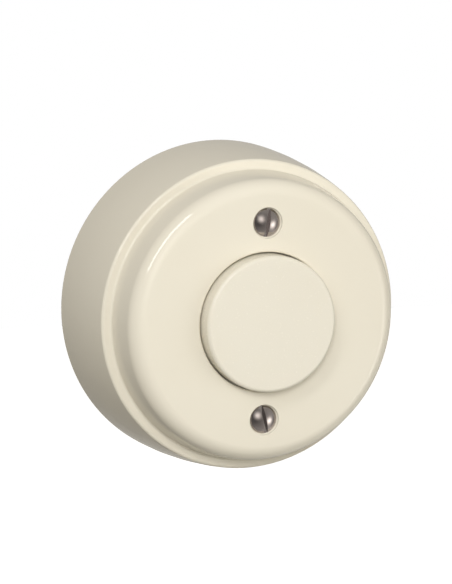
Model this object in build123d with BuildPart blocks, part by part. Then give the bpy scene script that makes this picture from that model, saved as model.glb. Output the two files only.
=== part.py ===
from build123d import *
import math
import os

os.makedirs("parts", exist_ok=True)

# A round bell push for a wall, with a lamp behind its button.
# The wall is the plane y = 0, the front faces -Y and +Z is up. The origin is where the button's
# axis meets the wall. Every height below is the distance from the wall, in millimetres.

# Cover, one moulded shell with a stepped front
face_height = 27.5
face_margin = 7.9
face_round = 3.2
step_draft = 1.45
step_fillet = 0.5
land_width = 1.85
shoulder_height = 19.2
shoulder_round = 0.6
drum_draft = 1.7
belly_height = 8.8
belly_start = 1.0
cover_wall = 2.6
face_thickness = 2.8
rim_edge_round = 0.3
inner_chamfer = 0.8
knockout_radius = 4.5
knockout_height = 4.5
knockout_web = 1.4

# Button, its travel and its running gap in the cover
button_radius = 13.2
button_gap = 0.25
button_hole_round = 0.45
button_proud = 3.2
button_edge_round = 0.75
button_wall = 1.6
button_flange_width = 1.4
button_flange_thickness = 1.5
button_boss_gap = 0.7
button_rest_gap = 0.3
travel = 2.5
travel_stop_gap = 0.05

# Cover screws and the threaded inserts that take them
screw_head_radius = 2.75
screw_head_sink = 0.25
screw_head_dome = 0.65
screw_shank_radius = 1.45
screw_length = 15.0
screw_slot_width = 0.75
screw_slot_depth = 1.0
screw_clearance = 0.2
screw_tip_gap = 1.0
upper_slot_lean = -7.0
lower_slot_lean = 13.0
insert_radius = 2.2
insert_length = 6.8
insert_recess = 0.2
thread_gap = 0.05

# Base plate
base_gap = 0.2
base_floor = 3.0
base_rim_height = 6.0
base_rim_wall = 1.9
cable_entry_radius = 6.5
cable_entry_round = 0.8
post_radius = 3.6
cover_boss_radius = 3.8
cover_boss_height = 4.7
wall_screw_pitch = 44.0
wall_screw_radius = 2.2
wall_screw_head_radius = 4.0
wall_screw_angle = 45.0

# Mechanism housing and its lid, held by two screws beside the button's axis
housing_floor = 2.0
housing_wall = 1.4
housing_post_gap = 1.2
lid_thickness = 1.6
lid_button_gap = 0.8
register_height = 0.8
register_wall = 0.85
register_gap = 0.15
pillar_radius = 3.2
pillar_standoff = 4.1
pillar_angle = 135.0
pillar_web = 4.6
housing_screw_head_radius = 2.8
housing_screw_head_height = 1.8
housing_screw_bite = 4.0
wing_width = 9.2
wing_end = 0.5
cheek_thickness = 1.0
cheek_height = 1.8

# Contacts, terminals and leads
contact_inset = 1.8
contact_head_radius = 1.5
contact_head_height = 0.8
rivet_radius = 0.8
rivet_gap = 0.02
strip_width = 4.0
strip_thickness = 0.4
strip_gap = 0.3
tag_inset = 1.0
tag_width = 2.0
tag_reach = 4.1
tag_gap = 0.2
ring_thickness = 0.6
ring_bore = 7.2
ring_gap = 0.7
terminal_wall_gap = 1.2
terminal_length = 7.0
terminal_depth = 6.0
terminal_gap = 0.1
terminal_chamfer = 0.4
wire_bore_radius = 1.15
wire_bore_height = 2.8
terminal_screw_radius = 1.2
terminal_screw_length = 3.2
terminal_head_radius = 2.1
terminal_head_height = 1.5
terminal_slot_width = 0.6

# Plunger and return spring
tube_bore = 6.9
tube_wall = 1.7
guide_gap = 0.15
plunger_flange_inset = 0.6
plunger_flange_thickness = 1.75
plunger_stop_gap = 0.1
shoulder_lift = 0.4
shoulder_thickness = 1.2
light_hole_radius = 4.6
collar_overlap = 3.6
collar_wall = 1.25
collar_ledge = 1.2
spring_tube_gap = 0.65
spring_wire_radius = 0.35
spring_wire_sides = 8
spring_turns = 5

# Lamp, its holder and the series resistor
lamp_radius = 2.95
lamp_button_gap = 1.2
lamp_dome = 2.6
lamp_lift = 1.0
holder_spring_gap = 0.55
holder_depth = 1.6
holder_spigot_radius = 2.9
holder_spigot_reach = 2.4
lamp_gap = 0.1
lead_radius = 0.25
lead_pitch = 2.4
lead_drop = 1.6
lead_bend = 1.0
lead_hole_gap = 0.1
lead_joint = 3.0
resistor_start = 5.2
resistor_length = 6.4
resistor_radius = 1.1
resistor_waist = 0.15

# Radii that follow from the sizes above, from the button outwards
button_hole_radius = button_radius + button_gap
button_bore = button_radius - button_wall
button_flange_radius = button_radius + button_flange_width
screw_place = button_flange_radius + button_boss_gap + cover_boss_radius
screw_places = [(0, screw_place), (0, -screw_place)]
screw_hole_radius = screw_shank_radius + screw_clearance
countersink_radius = screw_head_radius + screw_head_sink
face_edge_radius = screw_place + face_margin
step_radius = face_edge_radius + step_draft
shoulder_radius = step_radius + land_width
rim_radius = shoulder_radius + drum_draft
drum_taper = drum_draft / (shoulder_height - cover_wall - inner_chamfer)
belly_lean = math.atan(drum_draft / (shoulder_height - belly_height))
belly_reach = min(belly_height, shoulder_height - belly_height) - belly_start
belly_round = belly_reach / math.tan(belly_lean / 2)
base_radius = rim_radius - cover_wall - drum_taper * base_rim_height - base_gap
housing_radius = screw_place - post_radius - housing_post_gap
housing_bore = housing_radius - housing_wall
pillar_place = housing_radius + pillar_standoff
pillar_x = pillar_place * math.cos(math.radians(pillar_angle))
pillar_z = pillar_place * math.sin(math.radians(pillar_angle))
terminal_place = housing_radius + terminal_wall_gap + terminal_length / 2
wing_reach = terminal_place + terminal_length / 2 + wing_end
tag_place = terminal_place - terminal_length / 2 + tag_inset
ring_radius = housing_bore - ring_gap
contact_place = ring_radius - contact_inset
plunger_flange_radius = ring_radius - plunger_flange_inset
tube_radius = tube_bore + tube_wall
collar_bore = tube_radius + thread_gap
spring_radius = tube_bore - spring_wire_radius - spring_tube_gap
holder_radius = spring_radius - spring_wire_radius - holder_spring_gap

# Heights that follow, from the face down to the wiring space
head_rim_height = face_height - screw_head_sink
screw_tip_height = head_rim_height - screw_length
face_inside = face_height - face_thickness
post_height = face_inside - cover_boss_height
button_front = face_height + button_proud
button_inside = button_front - button_wall
flange_top = face_inside - button_rest_gap
flange_bottom = flange_top - button_flange_thickness
tube_top = flange_bottom + collar_overlap
lid_top = flange_bottom - travel - lid_button_gap
housing_top = lid_top - lid_thickness
plunger_bottom = housing_top - plunger_stop_gap - plunger_flange_thickness
ring_bottom = plunger_bottom - ring_thickness
fixed_contact_top = ring_bottom - contact_head_height - travel_stop_gap - travel
strip_top = fixed_contact_top - contact_head_height
housing_inside = strip_top - strip_thickness
housing_bottom = housing_inside - housing_floor
chamber_height = housing_top - housing_inside
terminal_top = strip_top + terminal_depth
wire_height = strip_top + wire_bore_height
spring_shoulder_height = lid_top + shoulder_lift
lamp_seat = housing_inside + lamp_lift
lamp_top = button_inside - travel - lamp_button_gap
holder_top = lamp_seat + holder_depth
lead_height = housing_bottom - lead_drop

# The half section holds radius across and height up, and turns about the button's axis.
half_section = Plane(origin=(0, 0, 0), x_dir=(1, 0, 0), z_dir=(0, 0, -1))


def front_plane(height):
    """The plane parallel to the wall at a height, seen from the front."""
    return Plane.XZ.offset(height)


# Cover: drum with a faint belly, land, step and rounded face, hollow behind
with BuildPart() as cover:
    with BuildSketch(half_section):
        with BuildLine():
            FilletPolyline(
                (rim_radius - cover_wall, 0),
                (rim_radius, 0),
                (rim_radius, belly_height),
                (shoulder_radius, shoulder_height),
                (step_radius, shoulder_height),
                (face_edge_radius, face_height),
                (button_hole_radius, face_height),
                (button_hole_radius, face_inside),
                (face_edge_radius - cover_wall - inner_chamfer, face_inside),
                (face_edge_radius - cover_wall, face_inside - inner_chamfer),
                (step_radius - cover_wall, shoulder_height - cover_wall),
                (shoulder_radius - cover_wall - inner_chamfer, shoulder_height - cover_wall),
                (shoulder_radius - cover_wall, shoulder_height - cover_wall - inner_chamfer),
                radius=[
                    0,
                    rim_edge_round,
                    belly_round,
                    shoulder_round,
                    step_fillet,
                    face_round,
                    button_hole_round,
                    0,
                    0,
                    0,
                    0,
                    0,
                    0,
                ],
                close=True,
            )
        make_face()
    revolve(axis=Axis.Y)
    # Bosses behind the screws, which seat on the base's posts
    with BuildSketch(front_plane(post_height)):
        with Locations(*screw_places):
            Circle(cover_boss_radius)
    extrude(amount=face_inside - post_height)
    with Locations(front_plane(face_height)):
        with Locations(*screw_places):
            CounterSinkHole(
                radius=screw_hole_radius,
                counter_sink_radius=countersink_radius,
                counter_sink_angle=90,
            )
    # Knock-outs for a surface cable, thinned from the inside at the top and the bottom
    for end in (1, -1):
        with BuildSketch(Plane.XY.offset(end * (rim_radius - knockout_web))):
            with Locations((0, -knockout_height)):
                Circle(knockout_radius)
            with Locations((0, -knockout_height / 2)):
                Rectangle(2 * knockout_radius, knockout_height)
        extrude(amount=-end * cover_wall, mode=Mode.SUBTRACT)
cover.part.label = "cover"
export_step(cover.part, "parts/cover.step")

# Push button: a thin translucent cap with a retaining flange and a collar for the plunger
with BuildPart() as push_button:
    with BuildSketch(half_section):
        with BuildLine():
            FilletPolyline(
                (button_bore, flange_bottom),
                (button_flange_radius, flange_bottom),
                (button_flange_radius, flange_top),
                (button_radius, flange_top),
                (button_radius, button_front),
                (0, button_front),
                (0, button_inside),
                (collar_bore - collar_ledge, button_inside),
                (collar_bore - collar_ledge, tube_top),
                (collar_bore, tube_top),
                (collar_bore, flange_bottom),
                (collar_bore + collar_wall, flange_bottom),
                (collar_bore + collar_wall, button_inside),
                (button_bore, button_inside),
                radius=[0, 0, 0, 0, button_edge_round, 0, 0, 0, 0, 0, 0, 0, 0, 0],
                close=True,
            )
        make_face()
    revolve(axis=Axis.Y)
push_button.part.label = "push_button"
export_step(push_button.part, "parts/push_button.step")

# Plunger: a tube that runs in the lid, with a stop flange below and a shoulder for the spring
with BuildPart() as plunger:
    with BuildSketch(half_section):
        with BuildLine():
            Polyline(
                (tube_bore, plunger_bottom),
                (plunger_flange_radius, plunger_bottom),
                (plunger_flange_radius, plunger_bottom + plunger_flange_thickness),
                (tube_radius, plunger_bottom + plunger_flange_thickness),
                (tube_radius, tube_top),
                (tube_bore, tube_top),
                (tube_bore, spring_shoulder_height + shoulder_thickness),
                (light_hole_radius, spring_shoulder_height + shoulder_thickness),
                (light_hole_radius, spring_shoulder_height),
                (tube_bore, spring_shoulder_height),
                close=True,
            )
        make_face()
    revolve(axis=Axis.Y)
plunger.part.label = "plunger"
export_step(plunger.part, "parts/plunger.step")

# Return spring: a helix between the housing's floor and the plunger's shoulder
spring_length = spring_shoulder_height - housing_inside
spring_rise = spring_length - 2 * spring_wire_radius
with BuildPart() as return_spring:
    with BuildLine():
        coil = Helix(
            pitch=spring_rise / spring_turns,
            height=spring_rise,
            radius=spring_radius,
            center=(0, -housing_inside - spring_wire_radius, 0),
            direction=(0, -1, 0),
        )
    with BuildSketch(Plane(origin=coil @ 0, z_dir=coil % 0)):
        RegularPolygon(spring_wire_radius, spring_wire_sides)
    sweep(is_frenet=True)
return_spring.part.label = "return_spring"
export_step(return_spring.part, "parts/return_spring.step")

# Contact ring: a flat ring under the plunger's flange that bridges both fixed contacts
with BuildPart() as contact_ring:
    with BuildSketch(front_plane(ring_bottom)):
        Circle(ring_radius)
        Circle(ring_bore, mode=Mode.SUBTRACT)
        with Locations((contact_place, 0), (-contact_place, 0)):
            Circle(rivet_radius, mode=Mode.SUBTRACT)
    extrude(amount=ring_thickness)
contact_ring.part.label = "contact_ring"
export_step(contact_ring.part, "parts/contact_ring.step")

# Mechanism housing: a round cup with screw pillars, and a wing on each side for a terminal
with BuildPart() as mechanism_housing:
    with BuildSketch(front_plane(housing_bottom)):
        Circle(housing_radius)
        Rectangle(2 * wing_reach, wing_width)
        with PolarLocations(pillar_place, 2, start_angle=pillar_angle):
            Circle(pillar_radius)
        with PolarLocations(pillar_place / 2, 2, start_angle=pillar_angle):
            Rectangle(pillar_place, pillar_web)
    extrude(amount=housing_floor)
    with BuildSketch(front_plane(housing_inside)):
        Circle(housing_radius)
        with PolarLocations(pillar_place, 2, start_angle=pillar_angle):
            Circle(pillar_radius)
        with PolarLocations(pillar_place / 2, 2, start_angle=pillar_angle):
            Rectangle(pillar_place, pillar_web)
    extrude(amount=chamber_height)
    with BuildSketch(front_plane(housing_inside)):
        Circle(housing_bore)
    extrude(amount=chamber_height, mode=Mode.SUBTRACT)
    # Low cheeks that keep each terminal from turning
    with BuildSketch(front_plane(housing_inside)):
        for side in (1, -1):
            for edge in (1, -1):
                with Locations((side * terminal_place, edge * (wing_width - cheek_thickness) / 2)):
                    Rectangle(terminal_length, cheek_thickness)
    extrude(amount=cheek_height)
    # Slots through the wall for the strips, and through the wings for their solder tags
    with BuildSketch(front_plane(housing_inside)):
        Rectangle(2 * (housing_radius + housing_wall), strip_width + strip_gap)
    extrude(amount=strip_thickness + strip_gap, mode=Mode.SUBTRACT)
    with BuildSketch(front_plane(housing_bottom)):
        with Locations((tag_place, 0), (-tag_place, 0)):
            Rectangle(strip_thickness + 2 * tag_gap, tag_width + 2 * tag_gap)
        Circle(holder_spigot_radius + lamp_gap)
        with PolarLocations(pillar_place, 2, start_angle=pillar_angle):
            Circle(screw_hole_radius)
    extrude(amount=housing_floor + chamber_height, mode=Mode.SUBTRACT)
mechanism_housing.part.label = "mechanism_housing"
export_step(mechanism_housing.part, "parts/mechanism_housing.step")

# Guide lid: closes the housing, guides the plunger's tube and stops its flange
with BuildPart() as guide_lid:
    with BuildSketch(front_plane(housing_top)):
        Circle(housing_radius)
        with PolarLocations(pillar_place, 2, start_angle=pillar_angle):
            Circle(pillar_radius)
        with PolarLocations(pillar_place / 2, 2, start_angle=pillar_angle):
            Rectangle(pillar_place, pillar_web)
        Circle(tube_radius + guide_gap, mode=Mode.SUBTRACT)
        with PolarLocations(pillar_place, 2, start_angle=pillar_angle):
            Circle(screw_hole_radius, mode=Mode.SUBTRACT)
    extrude(amount=lid_thickness)
    with BuildSketch(front_plane(housing_top)):
        Circle(housing_bore - register_gap)
        Circle(housing_bore - register_gap - register_wall, mode=Mode.SUBTRACT)
    extrude(amount=-register_height)
guide_lid.part.label = "guide_lid"
export_step(guide_lid.part, "parts/guide_lid.step")

# Base plate: a dish on the wall with the cable entry, the cover's posts and the housing's bosses
with BuildPart() as base_plate:
    with BuildSketch(half_section):
        with BuildLine():
            FilletPolyline(
                (cable_entry_radius, 0),
                (base_radius, 0),
                (base_radius, base_rim_height),
                (base_radius - base_rim_wall, base_rim_height),
                (base_radius - base_rim_wall, base_floor),
                (cable_entry_radius, base_floor),
                radius=[0, 0, 0, 0, 0, cable_entry_round],
                close=True,
            )
        make_face()
    revolve(axis=Axis.Y)
    with BuildSketch(front_plane(base_floor)):
        with Locations(*screw_places):
            Circle(post_radius)
    extrude(amount=post_height - base_floor)
    with BuildSketch(front_plane(base_floor)):
        with PolarLocations(pillar_place, 2, start_angle=pillar_angle):
            Circle(pillar_radius)
    extrude(amount=housing_bottom - base_floor)
    with Locations(front_plane(post_height)):
        with Locations(*screw_places):
            CounterBoreHole(
                radius=screw_hole_radius,
                counter_bore_radius=insert_radius + thread_gap,
                counter_bore_depth=insert_recess + insert_length,
                depth=post_height - screw_tip_height + screw_tip_gap,
            )
    with Locations(front_plane(housing_bottom)):
        with PolarLocations(pillar_place, 2, start_angle=pillar_angle):
            Hole(radius=screw_shank_radius + thread_gap, depth=housing_screw_bite + thread_gap)
    with Locations(front_plane(base_floor)):
        with PolarLocations(wall_screw_pitch / 2, 2, start_angle=wall_screw_angle):
            CounterSinkHole(
                radius=wall_screw_radius,
                counter_sink_radius=wall_screw_head_radius,
                counter_sink_angle=90,
            )
    # Gaps in the rim behind the cover's knock-outs
    with BuildSketch(front_plane(base_floor)):
        Rectangle(2 * knockout_radius, 2 * rim_radius)
        Circle(base_radius - base_rim_wall, mode=Mode.SUBTRACT)
    extrude(amount=base_rim_height - base_floor, mode=Mode.SUBTRACT)
base_plate.part.label = "base_plate"
export_step(base_plate.part, "parts/base_plate.step")

# Lamp holder: a flanged socket on the housing's floor, with a spigot through it for the leads
with BuildPart() as lamp_holder:
    with BuildSketch(half_section):
        with BuildLine():
            Polyline(
                (0, housing_bottom - holder_spigot_reach + housing_floor),
                (holder_spigot_radius, housing_bottom - holder_spigot_reach + housing_floor),
                (holder_spigot_radius, housing_inside),
                (holder_radius, housing_inside),
                (holder_radius, holder_top),
                (lamp_radius + lamp_gap, holder_top),
                (lamp_radius + lamp_gap, lamp_seat),
                (0, lamp_seat),
                close=True,
            )
        make_face()
    revolve(axis=Axis.Y)
    with BuildSketch(front_plane(lamp_seat)):
        with GridLocations(lead_pitch, 1, 2, 1):
            Circle(lead_radius + lead_hole_gap)
    extrude(amount=-lamp_seat, mode=Mode.SUBTRACT)
lamp_holder.part.label = "lamp_holder"
export_step(lamp_holder.part, "parts/lamp_holder.step")

# Glow lamp: a sealed glass tube with a rounded top and two wire leads
with BuildPart() as glow_lamp:
    with BuildSketch(half_section):
        with BuildLine():
            FilletPolyline(
                (0, lamp_seat),
                (lamp_radius, lamp_seat),
                (lamp_radius, lamp_top),
                (0, lamp_top),
                radius=[0, 0, lamp_dome, 0],
                close=True,
            )
        make_face()
    revolve(axis=Axis.Y)
    # The left lead runs to its solder tag, the right one meets the resistor's lead.
    for side, end in ((-1, tag_place - strip_thickness / 2), (1, lead_joint)):
        with BuildLine(half_section):
            lead = FilletPolyline(
                (side * lead_pitch / 2, lamp_seat + lamp_radius / 2),
                (side * lead_pitch / 2, lead_height),
                (side * end, lead_height),
                radius=lead_bend,
            )
        with BuildSketch(Plane(origin=lead @ 0, z_dir=lead % 0)):
            Circle(lead_radius)
        sweep(path=lead)
glow_lamp.part.label = "glow_lamp"
export_step(glow_lamp.part, "parts/glow_lamp.step")

# Lamp resistor: a small barrel with a wire lead at each end, in line with the lamp's right lead
with BuildPart() as lamp_resistor:
    with BuildSketch(Plane.XY):
        with BuildLine():
            resistor_end = resistor_start + resistor_length
            cap = resistor_length / 5
            Polyline(
                (lead_joint, -lead_height),
                (lead_joint, lead_radius - lead_height),
                (resistor_start, lead_radius - lead_height),
                (resistor_start, resistor_radius - lead_height),
                (resistor_start + cap, resistor_radius - lead_height),
                (resistor_start + cap, resistor_radius - resistor_waist - lead_height),
                (resistor_end - cap, resistor_radius - resistor_waist - lead_height),
                (resistor_end - cap, resistor_radius - lead_height),
                (resistor_end, resistor_radius - lead_height),
                (resistor_end, lead_radius - lead_height),
                (tag_place - strip_thickness / 2, lead_radius - lead_height),
                (tag_place - strip_thickness / 2, -lead_height),
                close=True,
            )
        make_face()
    revolve(axis=Axis(origin=(0, -lead_height, 0), direction=(1, 0, 0)))
lamp_resistor.part.label = "lamp_resistor"
export_step(lamp_resistor.part, "parts/lamp_resistor.step")

# The contacts and terminals, the same on the left and on the right
for side_name, side in (("left", -1), ("right", 1)):
    # Moving contact: a rivet through the ring with its head below
    with BuildPart() as moving_contact:
        with BuildSketch(front_plane(ring_bottom - contact_head_height)):
            with Locations((side * contact_place, 0)):
                Circle(contact_head_radius)
        extrude(amount=contact_head_height)
        with BuildSketch(front_plane(ring_bottom)):
            with Locations((side * contact_place, 0)):
                Circle(rivet_radius - rivet_gap)
        extrude(amount=ring_thickness)
    moving_contact.part.label = f"moving_contact_{side_name}"
    export_step(moving_contact.part, f"parts/moving_contact_{side_name}.step")

    # Contact strip: from under the moving contact to under the terminal, with a solder tag
    strip_start = contact_place - strip_width / 2
    strip_end = terminal_place + terminal_length / 2
    with BuildPart() as contact_strip:
        with BuildSketch(front_plane(housing_inside)):
            with Locations((side * (strip_start + strip_end) / 2, 0)):
                Rectangle(strip_end - strip_start, strip_width)
            with Locations((side * contact_place, 0)):
                Circle(rivet_radius, mode=Mode.SUBTRACT)
        extrude(amount=strip_thickness)
        with BuildSketch(front_plane(housing_inside)):
            with Locations((side * tag_place, 0)):
                Rectangle(strip_thickness, tag_width)
        extrude(amount=-tag_reach)
    contact_strip.part.label = f"contact_strip_{side_name}"
    export_step(contact_strip.part, f"parts/contact_strip_{side_name}.step")

    # Fixed contact: a rivet through the strip with its head above
    with BuildPart() as fixed_contact:
        with BuildSketch(front_plane(strip_top)):
            with Locations((side * contact_place, 0)):
                Circle(contact_head_radius)
        extrude(amount=contact_head_height)
        with BuildSketch(front_plane(housing_inside)):
            with Locations((side * contact_place, 0)):
                Circle(rivet_radius - rivet_gap)
        extrude(amount=strip_thickness)
    fixed_contact.part.label = f"fixed_contact_{side_name}"
    export_step(fixed_contact.part, f"parts/fixed_contact_{side_name}.step")

    # Terminal block: a brass block with a bore for the wire across it and a thread from the front
    with BuildPart() as terminal_block:
        with BuildSketch(front_plane(strip_top)):
            with Locations((side * terminal_place, 0)):
                Rectangle(terminal_length, wing_width - 2 * cheek_thickness - 2 * terminal_gap)
        extrude(amount=terminal_depth)
        chamfer(terminal_block.faces().sort_by(Axis.Y)[0].edges(), length=terminal_chamfer)
        with Locations(front_plane(terminal_top)):
            with Locations((side * terminal_place, 0)):
                Hole(radius=terminal_screw_radius + thread_gap, depth=terminal_top - wire_height)
        with BuildSketch(Plane.XY.offset(-wing_width / 2)):
            with Locations((side * terminal_place, -wire_height)):
                Circle(wire_bore_radius)
        extrude(amount=wing_width, mode=Mode.SUBTRACT)
    terminal_block.part.label = f"terminal_block_{side_name}"
    export_step(terminal_block.part, f"parts/terminal_block_{side_name}.step")

    # Terminal screw: stands open, with its tip just clear of the wire bore
    tip_height = wire_height + wire_bore_radius + thread_gap
    head_height = tip_height + terminal_screw_length
    with BuildPart() as terminal_screw:
        with BuildSketch(front_plane(tip_height)):
            with Locations((side * terminal_place, 0)):
                Circle(terminal_screw_radius)
        extrude(amount=terminal_screw_length)
        with BuildSketch(front_plane(head_height)):
            with Locations((side * terminal_place, 0)):
                Circle(terminal_head_radius)
        extrude(amount=terminal_head_height)
        with BuildSketch(front_plane(head_height + terminal_head_height)):
            with Locations((side * terminal_place, 0)):
                Rectangle(terminal_slot_width, 2 * terminal_head_radius)
        extrude(amount=-terminal_head_height / 2, mode=Mode.SUBTRACT)
    terminal_screw.part.label = f"terminal_screw_{side_name}"
    export_step(terminal_screw.part, f"parts/terminal_screw_{side_name}.step")

# Housing screws: through the lid and the pillars into the base's bosses
for end_name, end in (("upper", 1), ("lower", -1)):
    screw_tip = housing_bottom - housing_screw_bite
    with BuildPart() as housing_screw:
        with BuildSketch(front_plane(screw_tip)):
            with Locations((end * pillar_x, end * pillar_z)):
                Circle(screw_shank_radius)
        extrude(amount=lid_top - screw_tip)
        with BuildSketch(front_plane(lid_top)):
            with Locations((end * pillar_x, end * pillar_z)):
                Circle(housing_screw_head_radius)
        extrude(amount=housing_screw_head_height)
        fillet(
            housing_screw.edges().filter_by(GeomType.CIRCLE).sort_by(Axis.Y)[0],
            radius=housing_screw_head_height / 3,
        )
        with BuildSketch(front_plane(lid_top + housing_screw_head_height)):
            with Locations((end * pillar_x, end * pillar_z)):
                Rectangle(2 * housing_screw_head_radius, screw_slot_width)
        extrude(amount=-housing_screw_head_height / 2, mode=Mode.SUBTRACT)
    housing_screw.part.label = f"housing_screw_{end_name}"
    export_step(housing_screw.part, f"parts/housing_screw_{end_name}.step")

# Threaded inserts in the posts, and the raised countersunk screws that hold the cover
for end_name, end, slot_lean in (("upper", 1, upper_slot_lean), ("lower", -1, lower_slot_lean)):
    insert_bottom = post_height - insert_recess - insert_length
    with BuildPart() as thread_insert:
        with BuildSketch(front_plane(insert_bottom)):
            with Locations((0, end * screw_place)):
                Circle(insert_radius)
                Circle(screw_shank_radius + thread_gap, mode=Mode.SUBTRACT)
        extrude(amount=insert_length)
    thread_insert.part.label = f"thread_insert_{end_name}"
    export_step(thread_insert.part, f"parts/thread_insert_{end_name}.step")

    screw_axis = Axis(origin=(0, 0, end * screw_place), direction=(0, 1, 0))
    cone_bottom = head_rim_height - (screw_head_radius - screw_shank_radius)
    with BuildPart() as cover_screw:
        with BuildSketch(Plane(origin=(0, 0, end * screw_place), x_dir=(1, 0, 0), z_dir=(0, 0, -1))):
            with BuildLine():
                Line((0, screw_tip_height), (0, head_rim_height + screw_head_dome))
                ThreePointArc(
                    (0, head_rim_height + screw_head_dome),
                    (screw_head_radius * 0.55, head_rim_height + screw_head_dome * 0.7),
                    (screw_head_radius, head_rim_height),
                )
                Line((screw_head_radius, head_rim_height), (screw_shank_radius, cone_bottom))
                Line((screw_shank_radius, cone_bottom), (screw_shank_radius, screw_tip_height))
                Line((screw_shank_radius, screw_tip_height), (0, screw_tip_height))
            make_face()
        revolve(axis=screw_axis)
        with BuildSketch(front_plane(head_rim_height + screw_head_dome)):
            with Locations(Location((0, end * screw_place), slot_lean)):
                Rectangle(screw_slot_width, 2 * screw_head_radius)
        extrude(amount=-screw_slot_depth, mode=Mode.SUBTRACT)
    cover_screw.part.label = f"cover_screw_{end_name}"
    export_step(cover_screw.part, f"parts/cover_screw_{end_name}.step")
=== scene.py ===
"""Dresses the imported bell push: a stepped cream cover, a lamp-lit button and the works behind them."""
import logging
import math
from dataclasses import dataclass
from enum import Enum
from typing import Optional, Sequence

import bmesh
import bpy
from mathutils import Matrix, Vector


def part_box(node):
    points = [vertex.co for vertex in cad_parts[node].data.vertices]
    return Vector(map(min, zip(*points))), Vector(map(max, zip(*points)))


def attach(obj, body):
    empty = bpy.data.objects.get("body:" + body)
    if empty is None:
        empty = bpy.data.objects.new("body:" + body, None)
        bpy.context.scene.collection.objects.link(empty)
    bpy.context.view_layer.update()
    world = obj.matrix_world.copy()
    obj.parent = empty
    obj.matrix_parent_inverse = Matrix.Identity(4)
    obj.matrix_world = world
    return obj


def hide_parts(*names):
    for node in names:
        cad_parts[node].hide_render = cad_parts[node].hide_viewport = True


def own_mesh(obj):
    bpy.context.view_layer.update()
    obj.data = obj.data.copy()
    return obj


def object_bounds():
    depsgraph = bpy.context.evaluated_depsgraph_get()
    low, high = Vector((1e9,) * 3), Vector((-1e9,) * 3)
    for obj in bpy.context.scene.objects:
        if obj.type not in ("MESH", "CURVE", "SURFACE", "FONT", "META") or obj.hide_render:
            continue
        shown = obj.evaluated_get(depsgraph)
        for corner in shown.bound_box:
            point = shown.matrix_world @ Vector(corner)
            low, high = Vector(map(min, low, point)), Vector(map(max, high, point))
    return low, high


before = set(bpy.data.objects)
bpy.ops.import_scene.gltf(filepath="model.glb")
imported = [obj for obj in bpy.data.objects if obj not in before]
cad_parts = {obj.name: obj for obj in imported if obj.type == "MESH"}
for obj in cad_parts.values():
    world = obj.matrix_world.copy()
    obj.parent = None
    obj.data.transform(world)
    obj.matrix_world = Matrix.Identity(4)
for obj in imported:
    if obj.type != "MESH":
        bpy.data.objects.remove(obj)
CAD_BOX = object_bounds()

Solid = bmesh.types.BMesh
Edge = bmesh.types.BMEdge
Socket = bpy.types.NodeSocket
Material = bpy.types.Material
Place = tuple[float, float]
Colour = tuple[float, float, float]

MM = 0.001
AXIS: Place = (0.0, 0.0)
FRONT = Vector((0, -1, 0))
# How far a cutting tool reaches past what it cuts, in millimetres.
CLEAR = 1.0
# Corners that are closer than this become one, in millimetres.
MERGE = 1e-4
# A rounding gets one segment for this much of its arc, in degrees, and never fewer than the least.
ARC_STEP = 7.0
ARC_LEAST = 3
# The block that cuts a driver's slot is as long as this many head radii.
SLOT_REACH = 3
# How much large faces count in the shading normals. All faces count alike at 50.
SHADING_WEIGHT = 80

logging.basicConfig(level=logging.INFO, format="%(message)s")
log = logging.getLogger("bell_push")


class Body(Enum):
    """The CAD bodies that pieces ride on."""

    HOUSING = "housing"
    BUTTON = "button"


class Slot(Enum):
    """The record's material slots."""

    CREAM = "cream_thermoset"
    TRANSLUCENT = "cream_translucent"
    DARK = "dark_thermoset"
    NYLON = "white_nylon"
    NICKEL = "nickel_steel"
    SPRING = "spring_steel"
    BRASS = "brass"
    SILVER = "contact_silver"
    GLASS = "lamp_glass"
    LACQUER = "resistor_lacquer"


class Cut(Enum):
    """How one solid changes another."""

    AWAY = "DIFFERENCE"
    JOIN = "UNION"


class End(Enum):
    """The upper and the lower end, with the sign of Z there."""

    UPPER = 1
    LOWER = -1

    @property
    def word(self) -> str:
        """The end's word in the names of pieces and nodes."""
        return self.name.lower()


class Side(Enum):
    """The right and the left side seen from the front, with the sign of X there."""

    RIGHT = 1
    LEFT = -1

    @property
    def word(self) -> str:
        """The side's word in the names of pieces and nodes."""
        return self.name.lower()


@dataclass(frozen=True)
class Corner:
    """One corner of a half section, in millimetres: radius, distance from the wall and rounding."""

    across: float
    height: float
    round_by: float = 0.0


@dataclass(frozen=True)
class Layout:
    """Places and sizes that sub-assemblies share, in millimetres.

    Heights are distances from the wall, and other places are distances from the axis.
    """

    cover_screws: float = 19.1
    pillars: float = 18.4
    pillar_angle: float = 135.0
    terminals: float = 19.0
    terminal_length: float = 7.0
    tags: float = 16.5
    cup_bottom: float = 9.0
    cup_inside: float = 11.0
    strip_top: float = 11.4
    ring_top: float = 16.15
    lid_top: float = 19.6
    spring_top: float = 20.0

    def cover_screw(self, end: End) -> Place:
        """Gives X and Z of a cover screw."""
        return 0.0, end.value * self.cover_screws

    def pillar(self, end: End) -> Place:
        """Gives X and Z of a pillar and its housing screw."""
        turn = math.radians(self.pillar_angle)
        return end.value * self.pillars * math.cos(turn), end.value * self.pillars * math.sin(turn)

    def terminal(self, side: Side) -> Place:
        """Gives X and Z of a terminal."""
        return side.value * self.terminals, 0.0


LAYOUT = Layout()


def along_y(height: float) -> float:
    """Turns a distance from the wall into a Y coordinate."""
    return -height


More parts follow.
